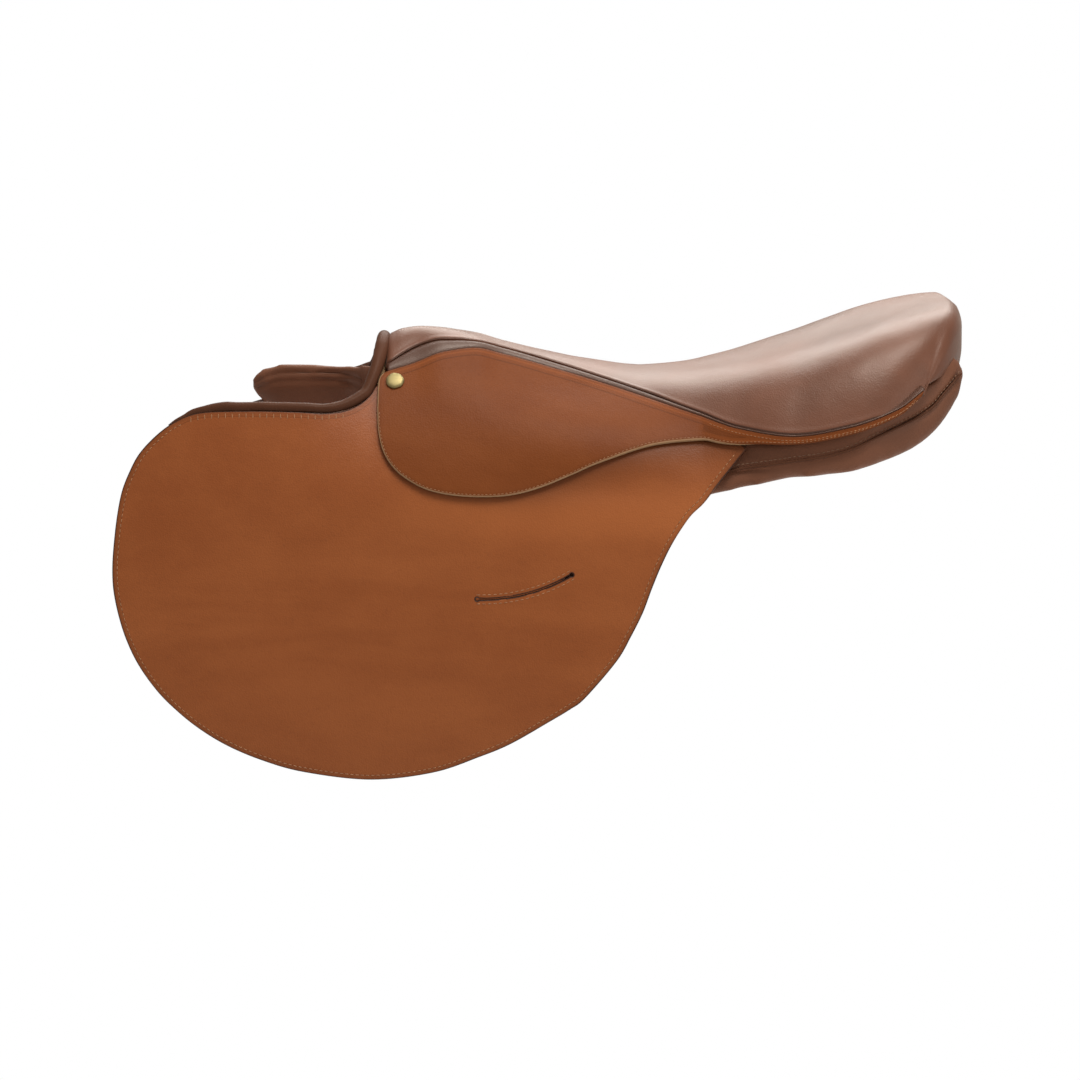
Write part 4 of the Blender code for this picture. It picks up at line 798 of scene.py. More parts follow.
def build_flaps():
    from_edge = bpy.context.scene.saddle_stitching.from_edge
    for label, sign in SIDES:
        outline, shown = flap_outline(sign)
        flap = plate(f"{label}_flap_hide", outline, [slit_outline()], sign, FLAP_OUTER, FLAP_LEATHER,
                     FLAP_MESH)
        dress(flap, "flap")
        x, _, z = read_points(flap.data).T
        # Mask of the painted shadow under the skirt's edge
        write_attribute(flap.data, "under", painted_skirt_shadow(x, z))
        # Mask of the painted highlight band below the skirt
        write_attribute(flap.data, "pale", painted_highlight_band(x, z))
        ring = inset(outline, from_edge)[:shown - 4]
        ring = ring[int(np.argmax(ring[:, 0] < -0.35)):]
        lines = [laid(ring, sign, FLAP_OUTER)]
        for x in np.arange(-0.342, -0.226, 0.0052):
            z = float(front_edge(x, sign)) - np.array([0.003, 0.0041])
            lines.append(on_side(np.full(2, x), z, sign, FLAP_OUTER, STITCH_LIFT))
        lines += [laid(offset_open(slit_line(31), away), sign, FLAP_OUTER)
                  for away in (-SLIT_ROW_GAP, SLIT_ROW_GAP)]
        rows = stitches(f"{label}_flap_stitches", lines)
        bend(flap, rows, label, "flap")


# Skirts

SKIRT_BOTTOM = [
    (0.0417, 0.0516), (0.0044, 0.0478), (-0.033, 0.0362), (-0.0555, 0.0267), (-0.078, 0.018),
    (-0.1006, 0.0125), (-0.1232, 0.0111), (-0.1457, 0.0123), (-0.1646, 0.0164), (-0.1797, 0.0239),
    (-0.1897, 0.032), (-0.197, 0.0428), (-0.2008, 0.0563), (-0.2018, 0.069)]
tail_width = along_seat([
    (0.533, 0.016), (0.598, 0.0109), (0.64, 0.0075), (0.696, 0.006), (0.794, 0.0058), (0.869, 0.0052),
    (0.9044, 0.003)])
TAIL_X = POMMEL_X + 0.9044 * SEAT_RUN


def skirt_outline(spacing=0.0022):
    """Closed outline of a skirt, and how many of its points lie along its upper edge."""
    front = [(-0.2018, 0.069), (-0.2018, 0.08), (-0.2016, 0.0862), (-0.2006, 0.0905), (-0.1978, 0.093)]
    top_x, low_x = np.linspace(-0.194, TAIL_X, 90), np.linspace(TAIL_X, 0.055, 30)
    low = np.stack([low_x, seam_height(low_x) - tail_width(low_x)], -1)
    lower = catmull(np.vstack([low[-2:], SKIRT_BOTTOM]), spacing)
    upper = catmull(np.vstack([front, np.stack([top_x, seam_height(top_x)], -1)]), spacing)
    return np.vstack([upper, even(low, spacing)[1:-2], lower[1:-1]]), len(upper)


def build_skirts():
    (x0, z0), (x1, z1) = SKIRT_BEND_FRONT, SKIRT_BEND_REAR
    along = np.array([x1 - x0, z1 - z0])
    along /= np.linalg.norm(along)
    for label, sign in SIDES:
        outline, upper = skirt_outline()
        skirt = plate(f"{label}_skirt_hide", outline, [], sign, 0.0, SKIRT_LEATHER, SKIRT_MESH)
        dress(skirt, "skirt")
        x, _, z = read_points(skirt.data).T
        edge = np.empty(len(x))
        skirt.data.attributes["edge"].data.foreach_get("value", edge)
        covered = ease((z - seam_height(x) + 0.0125) / 0.005) * ease((x + 0.199) / 0.003)
        write_attribute(skirt.data, "edge", edge + 0.0013 * covered)
        # Where the skirt's top carries its crease's painted shade and its bead's painted highlight
        write_attribute(skirt.data, "bead", covered)
        ring = inset(outline, SKIRT_ROW_INSET)
        top = ring[:upper - 4]
        top = top[top[:, 0] > 0.05] - (0, 0.0014)
        lines = [laid(line, sign, 0.0) for line in (top, ring[upper + 3:])]
        rows = stitches(f"{label}_skirt_stitches", lines, pitch=0.003, radius=0.0002)
        width = float(side(x0, z0)) * sign
        bend(skirt, rows, label, "skirt")


# Seat

pommel_share = Curve([
    (0.0, 0.74), (0.0133, 0.87), (0.03, 0.965), (0.06, 1.02), (0.093, 0.985), (0.127, 0.91),
    (0.163, 0.79), (0.198, 0.655), (0.302, 0.33), (0.404, 0.066), (0.44, 0.0)])
cantle_share = Curve([
    (0.44, 0.0), (0.509, 0.025), (0.587, 0.127), (0.698, 0.353), (0.801, 0.618), (0.851, 0.765),
    (0.898, 0.873), (0.951, 0.97), (0.985, 1.0)])
squareness = Curve([
    (0.0, 2.0), (0.2, 2.2), (0.44, 2.6), (0.587, 3.4), (0.7, 3.9), (0.8, 4.2), (0.9, 4.2), (1.0, 4.2)])
dish = Curve([
    (0.0, 0.0), (0.5, 0.0), (0.587, 0.003), (0.7, 0.005), (0.8, 0.004), (0.9, -0.001), (1.0, -0.004)])
roll_back = Curve([
    (0.0, 0.0), (0.1, 0.007), (0.34, 0.0105), (0.68, 0.011), (1.0, 0.0092)])


def crest(share):
    front = SEAT_DIP + (POMMEL_TOP - SEAT_DIP) * pommel_share(np.minimum(share, 0.44))
    rear = SEAT_DIP + (CANTLE_TOP - SEAT_DIP) * cantle_share(np.maximum(share, 0.44))
    return np.where(share < 0.44, front, rear)


def sweep(share, y):
    return CANTLE_SWEEP * ease((share - 0.55) / 0.4) * (y / 0.1) ** 2


def seat_edge(share):
    station = POMMEL_X + share * SEAT_RUN
    x = station
    for _ in range(20):
        height = seam_height(x) + welt_width(x)
        width = layer(x, height, LEATHER_GAP)
        x = mix(x, station - sweep(share, width), 0.6)
    return width, height


def seat_surface(shares, across):
    """Rows of the seat's outer face, station by station."""
    width, edge_height = seat_edge(shares)
    a = np.abs(across)[None]
    share = shares[:, None]
    top, rise = crest(share), dish(share)
    z = top + rise * a * a - (top + rise - edge_height[:, None]) * a ** squareness(share)
    y = width[:, None] * across[None]
    return np.stack([POMMEL_X + share * SEAT_RUN - sweep(share, y), y, z], -1)


def grid_normals(rows):
    normal = np.cross(np.gradient(rows, axis=0), np.gradient(rows, axis=1))
    return normal / np.maximum(np.linalg.norm(normal, axis=-1, keepdims=True), 1e-12)


def seat_rows(shares, across):
    """Rows of the seat's outer face, with the front tucked in and the rear rolled down."""
    rows = seat_surface(shares, across)
    station = shares[:, None]
    rows[..., 1] *= 1 - 0.05 * (np.clip((station - 0.905) / 0.063, 0, 1)) ** 2
    rows[..., 2] -= 0.007 * ease((station - 0.89) / 0.07) * np.abs(across) ** 5
    tucked = [rows[0] + (forward, 0, down) for forward, down in
              ((-0.0052, -0.0085), (-0.0046, -0.0052), (-0.0034, -0.0024), (-0.0018, -0.0008))]
    rim = rows[-1]
    bottom = float(seam_height(CANTLE_X - CANTLE_SWEEP)) + 0.006
    low = bottom - 0.013 * across ** 4 - 0.012 * np.exp(-(across / 0.38) ** 4)
    low = np.minimum(low, rim[:, 2] - 0.004)
    corner = np.abs(across) ** 8
    low = low + (rim[-1, 2] - 0.0008 - low[-1]) * corner
    rear = []
    for drop in np.linspace(0, 1, 22)[1:]:
        back = float(roll_back(drop))
        rear.append(np.stack([rim[:, 0] + back * (1 - 0.55 * across ** 4) * (1 - corner),
                              rim[:, 1] * (1 + 3 * back * (1 - corner)), mix(rim[:, 2], low, drop)], -1))
    return np.concatenate([np.array(tucked), rows, np.array(rear)]), len(tucked), len(rear)


def build_seat():
    shares = np.concatenate([np.linspace(0.0133, 0.08, 16, endpoint=False),
                             np.linspace(0.08, 0.9, 110, endpoint=False), np.linspace(0.9, 0.968, 14)])
    t = np.linspace(-1, 1, 111)
    rows, tucked, rear = seat_rows(shares, np.sign(t) * (1 - (1 - np.abs(t)) ** 1.6))
    normal = grid_normals(rows)
    lengths = np.linalg.norm(np.diff(rows, axis=1), axis=-1)
    from_near = np.concatenate([np.zeros((len(rows), 1)), np.cumsum(lengths, axis=1)], axis=1)
    hem = np.minimum(from_near, from_near[:, -1:] - from_near)
    pucker = np.array([[noise.noise(Vector(p) * PUCKER_SCALE) for p in row] for row in rows])
    bead = HEM_BEAD * np.exp(-((hem - 0.0022) / 0.0016) ** 2)
    bead[-rear:] = 0
    rows = rows + normal * (bead + pucker * PUCKER_HEIGHT)[..., None]
    under = rows - normal * HIDE_THICKNESS
    for j in (0, -1):
        under[:, j] = rows[:, j] - normal[:, j] * HEM_THICKNESS
    # Distance to the seat's side edges, along which its colour darkens as painted shade
    lines = np.concatenate([hem, np.full(hem.shape, 1.0)], axis=1)
    seat = ring_mesh("seat_hide", np.concatenate([rows, under[:, ::-1]], axis=1), cap=False,
                     attributes={"hem": lines.ravel()})
    edited(seat, lambda bm: bmesh.ops.holes_fill(bm, edges=[e for e in bm.edges if e.is_boundary], sides=0))
    dress(outward_faces(seat), "seat")
    finish_piece(seat, "saddle", "seat_leather", "seat_leather")
    inner = (rows - normal * 0.0026)[tucked + 6:tucked + len(shares), 18:-18]
    lowest = inner[..., 2].min(1) - 0.003
    floor = np.minimum(crest(shares[6:]) - 0.002 - foam_thickness(shares[6:]), lowest)
    base = inner * (1, 0.985, 1)
    base[..., 2] = np.minimum(np.maximum(floor, 0)[:, None], inner[..., 2] - 0.003)
    foam = ring_mesh("seat_padding", np.concatenate([inner, base[:, ::-1]], axis=1))
    finish_piece(dress(foam, "foam"), "saddle", "foam", "seat_foam")


foam_thickness = Curve([
    (0.0, 0.007), (0.2, 0.007), (0.44, 0.011), (0.65, 0.02), (0.85, 0.026), (1.0, 0.026)])

# Section of the strip: share of its width, way off it, depth
WELT_SECTION = [
    (0, -0.0014, 0.0036), (0, -0.0008, 0.0016), (0.1, 0.0, 0.0005), (0.32, 0.0, 0.0001),
    (0.6, 0.0, 0.0001), (0.85, 0.0, 0.0006), (1.0, 0.0006, 0.0022), (1.0, 0.0016, 0.004),
    (1.0, 0.0018, 0.006), (0.6, 0.0, 0.0066), (0, -0.0006, 0.006)]


def build_welts():
    """Dark folded strip between the seat and each skirt."""
    x = np.linspace(-0.195, TAIL_X, 240)
    for label, sign in SIDES:
        rings = np.stack([on_side(x, seam_height(x) + share * welt_width(x) + off, sign, 0.0, depth)
                          for share, off, depth in WELT_SECTION], 1)
        welt = ring_mesh(f"{label}_folded_welt", rings)
        finish_piece(dress(welt, "seat"), "saddle", "panel_leather", f"{label}_seat_welt")


# Pommel roll, panels

def front_edge(x, sign):
    """Height of the flap's front upper edge."""
    line = np.array(TOP_LINE)[::-1]
    return np.interp(x, line[:, 0], line[:, 1]) - droop(x, sign)


# X, Y, Z and radius where the roll crosses the pommel, then the stations where it follows the flap
ROLL_START = ((-0.1995, 0.0, 0.112, 0.0054), (-0.2, 0.012, 0.1098, 0.0054),
              (-0.2015, 0.024, 0.103, 0.0052), (-0.204, 0.0345, 0.0945, 0.0048))
ROLL_STATIONS = (-0.2075, -0.213, -0.22, -0.229, -0.2412, -0.26, -0.275, -0.29, -0.306, -0.32, -0.3389,
                 -0.346, -0.3525, -0.359)


def roll_path(sign):
    """Middle line of the pommel's roll on one side, each point with its radius."""
    path = [(x, sign * y, z, radius) for x, y, z, radius in ROLL_START]
    e = 0.001
    for x in ROLL_STATIONS:
        slope = float(front_edge(x + e, sign) - front_edge(x - e, sign)) / (2 * e)
        long = math.sqrt(1 + slope * slope)
        taper = float(ease((-0.322 - x) / 0.034))
        radius = float(mix(0.0046, 0.0036, ease((-0.205 - x) / 0.04))) * (1 - 0.62 * taper)
        away = radius * mix(0.72, -0.05, taper)
        if sign > 0:
            lean = float(ease((-0.235 - x) / 0.03))
            radius, away = radius * (1 - 0.5 * lean), away - 0.004 * lean
        px, pz = x - away * slope / long, float(front_edge(x, sign)) + away / long
        path.append((px, sign * float(layer(px, pz, FLAP_OUTER + 0.002)), pz, radius))
    path[-1] = (*path[-1][:3], 0.0005)
    return path


def build_roll():
    line = catmull(np.array(roll_path(-1)[::-1] + roll_path(1)[1:]), 0.003)
    roll = tube("pommel_roll_hide", line[:, :3], line[:, 3], up=(-1, 0, 0.3))

    def crumple(bm):
        for vert in bm.verts:
            vert.co += vert.normal * 0.00025 * noise.noise(vert.co * 120)

    finish_piece(dress(edited(roll, crumple), "roll"), "saddle", "panel_leather", "pommel_roll")


PANEL_REAR_S, PANEL_END = 0.2505, 0.2535
panel_low = Curve([
    (-0.31, 0.054), (-0.302, 0.044), (-0.285, 0.028), (-0.26, 0.01), (-0.23, -0.01), (-0.19, -0.028),
    (-0.15, -0.036), (-0.1, -0.034), (-0.05, -0.022), (0.0, -0.003), (0.046, 0.0075), (0.087, 0.0168),
    (0.117, 0.0232), (0.154, 0.0272), (0.184, 0.0308), (0.207, 0.0372), (0.223, 0.043), (0.235, 0.0515),
    (0.243, 0.061), (PANEL_REAR_S, 0.075)])
panel_high = Curve([
    (-0.31, 0.068), (-0.3, 0.077), (-0.285, 0.081), (-0.26, 0.082), (-0.235, 0.0835), (-0.222, 0.085),
    (-0.203, 0.0875), (-0.1975, 0.087), (-0.1945, 0.078), (-0.19, 0.054), (-0.176, 0.043),
    (-0.15, 0.036), (-0.1, 0.036), (-0.02, 0.041), (0.03, 0.045), (0.08, 0.052), (0.12, 0.0565),
    (0.154, 0.061), (0.184, 0.0705), (0.207, 0.084), (0.222, 0.0925), (0.2345, 0.0985), (0.2395, 0.102),
    (0.243, 0.109), (PANEL_REAR_S, 0.116)])
panel_depth = Curve([
    (-0.31, 0.0096), (-0.226, 0.0096), (-0.212, 0.0182), (-0.17, 0.0182), (-0.156, 0.0167),
    (-0.03, 0.0168), (0.02, 0.012), (0.07, 0.0102), (0.079, 0.0096), (0.1, 0.0066), (0.15, 0.005),
    (PANEL_REAR_S, 0.006)])
panel_rear_width = Curve([
    (0.19, 0.103), (0.21, 0.099), (0.232, 0.0875), (0.243, 0.079), (PANEL_REAR_S, 0.07)])
inner_top_y = Curve([
    (-0.31, 0.05), (-0.285, 0.046), (-0.25, 0.042), (-0.215, 0.034), (-0.19, 0.024), (-0.1, 0.027),
    (0.0, 0.027), (0.207, 0.027), (0.23, 0.03), (PANEL_REAR_S, 0.044)])
inner_top_z = Curve([
    (-0.31, 0.066), (-0.285, 0.075), (-0.25, 0.076), (-0.222, 0.073), (-0.207, 0.056), (-0.19, 0.05),
    (-0.176, 0.042), (-0.15, 0.036), (-0.1, 0.037), (0.03, 0.042), (0.08, 0.044), (0.154, 0.052),
    (0.184, 0.06), (0.207, 0.07), (0.23, 0.085), (0.24, 0.096), (PANEL_REAR_S, 0.109)])
inner_low_y = Curve([
    (-0.31, 0.052), (-0.285, 0.058), (-0.25, 0.068), (-0.2, 0.074), (-0.15, 0.07), (-0.1, 0.06),
    (-0.05, 0.05), (0.0, 0.042), (0.06, 0.036), (0.15, 0.032), (0.207, 0.031), (0.23, 0.034),
    (PANEL_REAR_S, 0.046)])
inner_low_z = Curve([
    (-0.31, 0.057), (-0.285, 0.035), (-0.25, 0.008), (-0.2, -0.012), (-0.15, -0.008), (-0.1, 0.002),
    (-0.05, 0.01), (0.0, 0.016), (0.06, 0.023), (0.15, 0.037), (0.184, 0.043), (0.207, 0.051),
    (0.23, 0.064), (0.243, 0.078), (PANEL_REAR_S, 0.09)])
PANEL_SEAM = 0.45
INNER_TOP = 20
# Change of height at each panel's front, where it starts and its run
FRONT_SHIFT = {"near": (-0.0075, -0.188, 0.02), "off": (0.003, -0.195, 0.01)}


def panel_x(station, y):
    return station - sweep((station - POMMEL_X) / SEAT_RUN, y)


def panel_wall(station, t):
    """Y and Z on the panel's outer wall, t from its lower to its upper edge."""
    low, high = panel_low(station), panel_high(station)
    depth = panel_depth(station) + 0.004 * ease((-0.205 - station) / 0.01) * t * t
    z = mix(low, high, t)
    y = np.full(np.shape(station), 0.1)
    for _ in range(12):
        y = layer(panel_x(station, y), z, depth)
    rear = panel_rear_width(station) - 0.12 * (z - low)
    return mix(y, rear, ease((station - 0.19) / 0.025)), z


def panel_rings(stations, deeper):
    """Rings of (y, z) round the panel at each station, drawn in by deeper."""
    points = [np.stack(panel_wall(stations, t), -1) for t in np.linspace(0, 1, 13)]
    wall_low, wall_high = points[0], points[-1]
    top, low = (np.stack([np.minimum(y(stations), wall[:, 0] - 0.004), z(stations)], -1) for y, z, wall in
                ((inner_top_y, inner_top_z, wall_high), (inner_low_y, inner_low_z, wall_low)))
    for start, end, bulge, count in ((wall_high, top, -0.0012, 8), (top, low, -0.002, 6),
                                     (low, wall_low, -0.005, 10)):
        along = end - start
        length = np.linalg.norm(along, axis=1, keepdims=True)
        left = left_of(along) / np.maximum(length, 1e-9)
        amount = np.clip(bulge, -0.08 * length, 0.08 * length)
        for t in (k / count for k in range(1, count + 1)):
            points.append(start + along * t + left * (4 * amount * t * (1 - t)))
    rings = np.array(points[:-1]).transpose(1, 0, 2)
    return np.array([inset(ring, amount) for ring, amount in zip(rings, deeper)])


def placed_rings(stations, deeper, label, sign):
    """The panel's rings in space, with its front and rear ends shaped."""
    flat = panel_rings(stations, deeper)
    y, z = flat[..., 0], flat[..., 1]
    rings = np.stack([panel_x(stations[:, None], y), sign * y, z], -1)
    rings[..., 0] -= 0.4 * np.maximum(rings[..., 2] - 0.097, 0) * ease((stations[:, None] - 0.22) / 0.02)
    change, start, run = FRONT_SHIFT[label]
    x, z = rings[..., 0], rings[..., 2]
    rings[..., 2] += change * ease((start - x) / run) * ease((z - 0.03) / 0.035)
    return rings


def inflate(obj, pressure, cap, allow):
    """Cloth pressure on a closed shape, with each point's way held under the cap."""
    scene = bpy.context.scene
    rest = read_points(obj.data)
    cloth = obj.modifiers.new("padding", 'CLOTH')
    settings = cloth.settings
    settings.use_pressure = True
    settings.uniform_pressure_force = pressure
    settings.effector_weights.gravity = 0.0
    settings.quality = 5
    cloth.point_cache.frame_start = 1
    cloth.point_cache.frame_end = SWELL_FRAMES
    for number in range(1, SWELL_FRAMES + 1):
        scene.frame_set(number)
    swollen = obj.evaluated_get(bpy.context.evaluated_depsgraph_get())
    way = read_points(swollen.data) - rest
    obj.modifiers.remove(cloth)
    scene.frame_set(1)
    length = np.linalg.norm(way, axis=1, keepdims=True)
    way *= np.minimum(1.0, cap * allow(rest)[:, None] / np.maximum(length, 1e-9))
    obj.data.vertices.foreach_set("co", (rest + way).ravel())
    obj.data.update()


def give(points):
    """Share of the cap by which the panel may swell, least under the flap."""
    x = points[:, 0]
    return 0.25 + 0.75 * np.maximum(ease((x - 0.05) / 0.05), ease((-0.225 - x) / 0.02))


def smooth_five_times(bm):
    for _ in range(5):
        bmesh.ops.smooth_vert(bm, verts=bm.verts, factor=0.5, use_axis_x=True, use_axis_y=True,
                              use_axis_z=True)


def build_panels():
    stations = np.concatenate([np.linspace(-0.3125, -0.29, 14, endpoint=False),
                               np.linspace(-0.29, 0.225, 104, endpoint=False),
                               np.linspace(0.225, PANEL_END, 24)])
    to_end = np.clip(np.maximum((stations - PANEL_END + 0.009) / 0.009, (-0.3045 - stations) / 0.008), 0, 1)
    deeper = 0.0008 + 0.0075 * (1 - np.sqrt(1 - 0.98 * to_end ** 2))
    for label, sign in SIDES:
        rings = placed_rings(stations, deeper, label, sign)
        source = ring_mesh(f"{label}_panel_core", rings)
        remesh = source.modifiers.new("even", 'REMESH')
        remesh.mode = 'VOXEL'
        remesh.voxel_size = PANEL_VOXEL
        panel = edited(plain_copy(source, f"{label}_panel_form"), smooth_five_times)
        inflate(panel, SWELL_PRESSURE, SWELL_CAP, give)
        divide = panel.modifiers.new("smooth", 'SUBSURF')
        divide.levels = divide.render_levels = 1
        panel = plain_copy(panel, f"{label}_panel_hide")
        seam_y, seam_z = panel_wall(stations, PANEL_SEAM)
        seam = np.stack([panel_x(stations, seam_y), sign * seam_y, seam_z], -1)
        down = unit(rings[:, INNER_TOP + 3] - rings[:, INNER_TOP])
        front = stations < -0.219
        grooves = [(rings[:, INNER_TOP] + down * below)[front] for below in GROOVES_BELOW]
        finish_panel(panel, seam, grooves, label, sign)


def finish_panel(panel, seam, grooves, label, sign):
    """Draws the seams in, lays the piping in the outer one and stitches beside it."""
    mesh = panel.data
    points, normals = read_points(mesh), read_points(mesh, "normal")
    gap = distance_to(points, seam, closed=False)
    sunk = SEAM_GROOVE * np.exp(-(gap / GROOVE_HALF_WIDTH) ** 2)
    upper = seam[seam[:, 0] > 0.02] + (0, 0, 0.0105)
    for path, depth in ((upper, 0.0009), *((groove, 0.002) for groove in grooves)):
        beside = distance_to(points, path, closed=False)
        sunk = np.maximum(sunk, depth * np.exp(-(beside / GROOVE_HALF_WIDTH) ** 2))
        gap = np.minimum(gap, beside + 0.0003)
    mesh.vertices.foreach_set("co", (points - normals * sunk[:, None]).ravel())
    # Distance to the seam and grooves, along which the panel's colour darkens as painted shade
    write_attribute(mesh, "seam", gap)
    mesh.shade_smooth()
    finish_piece(dress(panel, "panel"), "saddle", "panel_leather",
                 *(f"{label}_panel_{part}" for part in ("facing", "lining", "flocking")))
    cord = even(seam[seam[:, 0] > 0.03] + (0, sign * 0.0002, 0), 0.003)
    piping = tube(f"{label}_panel_cord", cord, np.full(len(cord), PIPING_RADIUS), sides=10)
    finish_piece(dress(piping, "roll"), "saddle", "panel_leather", f"{label}_panel_piping")
    line = cord + np.array((0, sign * 0.0006, 0.0034))
    rows = stitches(f"{label}_panel_stitches", [line], "dark_thread", pitch=0.0036, radius=0.00028)
    finish_piece(rows, "saddle", "panel_leather")


# Girth straps, nails, tree

def build_straps():
    half = BILLET_WIDTH / 2 - 0.0003
    top, bottom = BILLET_TOP_Z - 0.0003, BILLET_TIP_Z
    corners = [(-half, top), (-half, bottom + 0.0085), (-half * 0.55, bottom + 0.0043), (0, bottom + 0.0003),
               (half * 0.55, bottom + 0.0043), (half, bottom + 0.0085), (half, top), (-half, top)]
    turn = np.linspace(0, 2 * math.pi, 14, endpoint=False)
    for label, sign in SIDES:
        for place, x in zip(("front", "rear"), BILLET_STATIONS):
            outline = even(np.array([(x + across, z) for across, z in corners]), 0.0025)[:-1]
            holes = [np.stack([x + HOLE_RADIUS * np.cos(turn), BILLET_TIP_Z + FIRST_HOLE + k * HOLE_PITCH
                               + HOLE_RADIUS * np.sin(turn)], -1) for k in range(4)]
            strap = plate(f"{label}_{place}_girth_strap", outline, holes, sign, BILLET_DEPTH,
                          BILLET_LEATHER, 0.0045, 0.0008)
            body = f"{label}_{place}_billet"
            finish_piece(dress(strap, "strap"), body, "strap_leather", body)
            ring = inset(outline, STRAP_ROW_INSET)
            row = laid(np.vstack([ring, ring[:1]]), sign, BILLET_DEPTH, STRAP_ROW_SUNK)
            run = stitches(f"{label}_{place}_strap_stitches", [row], pitch=0.0036, radius=0.00022)
            finish_piece(run, body, "strap_leather")


# Height of the nail's head, then its radius, both as shares
NAIL_SECTION = [
    (0.0, 1.0), (0.14, 1.03), (0.34, 1.03), (0.52, 0.985), (0.68, 0.9), (0.78, 0.78), (0.84, 0.6),
    (0.87, 0.36), (0.88, 0.12)]


def build_nails():
    turn = np.linspace(0, 2 * math.pi, 40, endpoint=False)
    painted_flap_light_and_nail_wear = 0.035 * (1 + np.sin(turn * 7 + 0.7) * 0.5 + np.sin(turn * 3 + 2.0) * 0.5)
    for label, sign in SIDES:
        centre, inner = (on_side([NAIL_POSITION[0]], [NAIL_POSITION[1]], sign, 0.0, depth)[0]
                         for depth in (0.0, 0.001))
        normal = unit(centre - inner)
        first = unit(np.cross(normal, (0, 0, 1.0)))
        second = np.cross(normal, first)
        rings = []
        for height, share in NAIL_SECTION:
            radius = NAIL_HEAD_RADIUS * share * (1 - painted_flap_light_and_nail_wear * (share > 0.5))
            middle = centre + normal * (height * NAIL_HEIGHT * 0.86 + 0.0003)
            rings.append(middle + first * (np.cos(turn) * radius)[:, None]
                         + second * (np.sin(turn) * radius)[:, None])
        nail = ring_mesh(f"{label}_nail_head", rings)
        finish_piece(dress(nail, "brass"), "saddle", "brass", f"{label}_saddle_nail")


def refined(node, ending, material_name, bevel, slot):
    """A CAD piece with its edges eased, its faces smooth and a finish of its own."""
    name = f"{node}_{ending}"
    source = placed(name + "_source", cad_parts[node].data.copy())
    edited(source, lambda bm: bmesh.ops.remove_doubles(bm, verts=bm.verts, dist=0.00002))
    source.data.shade_smooth()
    ease_edges = source.modifiers.new("eased edges", 'BEVEL')
    for key, setting in (("width", bevel), ("segments", 2), ("angle_limit", math.radians(38)),
                         ("use_clamp_overlap", True), ("harden_normals", True)):
        setattr(ease_edges, key, setting)
    body = node if node.endswith("_bar_catch") else "saddle"
    finish_piece(dress(plain_copy(source, name), material_name), body, slot, node)


def build_tree():
    """The tree, its webs and its metal, with eased edges."""
    labels = [label for label, _ in SIDES]
    bars = ("stirrup_bar", "bar_catch_pin", "bar_rivet_front", "bar_rivet_rear", "bar_catch")
    wood = ["front_arch", "cantle_board", *(f"{label}_tree_rail" for label in labels)]
    metal = ["head_plate", "gullet_plate", *(f"{label}_{bar}" for label in labels for bar in bars)]
    for nodes, ending, finish, bevel, slot in (
            (wood, "wood", "wood", 0.0012, "beech"),
            (["seat_web", "front_girth_web", "rear_girth_web"], "cloth", "web", 0.0003, "webbing"),
            (["pommel_facing"], "hide", "roll", 0.0004, "panel_leather"),
            (metal, "steel", "steel", 0.0004, "steel")):
        for node in nodes:
            refined(node, ending, finish, bevel, slot)


# Stage

def shown_white(tree, lit, output, kind):
    """Lights the saddle with one shader while the camera sees plain white."""
    white = add_node(tree, kind, [("Color", (1, 1, 1, 1))]).outputs[0]
    ray = add_node(tree, "ShaderNodeLightPath").outputs["Is Camera Ray"]
    join = add_node(tree, "ShaderNodeMixShader", [("Fac", ray), (1, lit.outputs[0]), (2, white)])
    tree.links.new(join.outputs["Shader"], tree.nodes[output].inputs["Surface"])


# Name, place, aim, width and share of the key's power
LAMPS = (("key", (0.25, -0.6, 2.1), (0, 0, 0.02), 0.8, 1.7),
         ("side", (1.6, -1.4, 0.5), (0.1, 0, 0), 1.2, 0.42),
         ("back", (0.15, 1.5, 1.5), (0.05, 0, 0.08), 1.8, 2.2))
CAMERA_TILT, CAMERA_DISTANCE, CAMERA_X, CAMERA_Z = math.radians(16.0), 2.1, -0.078045, -0.0517067


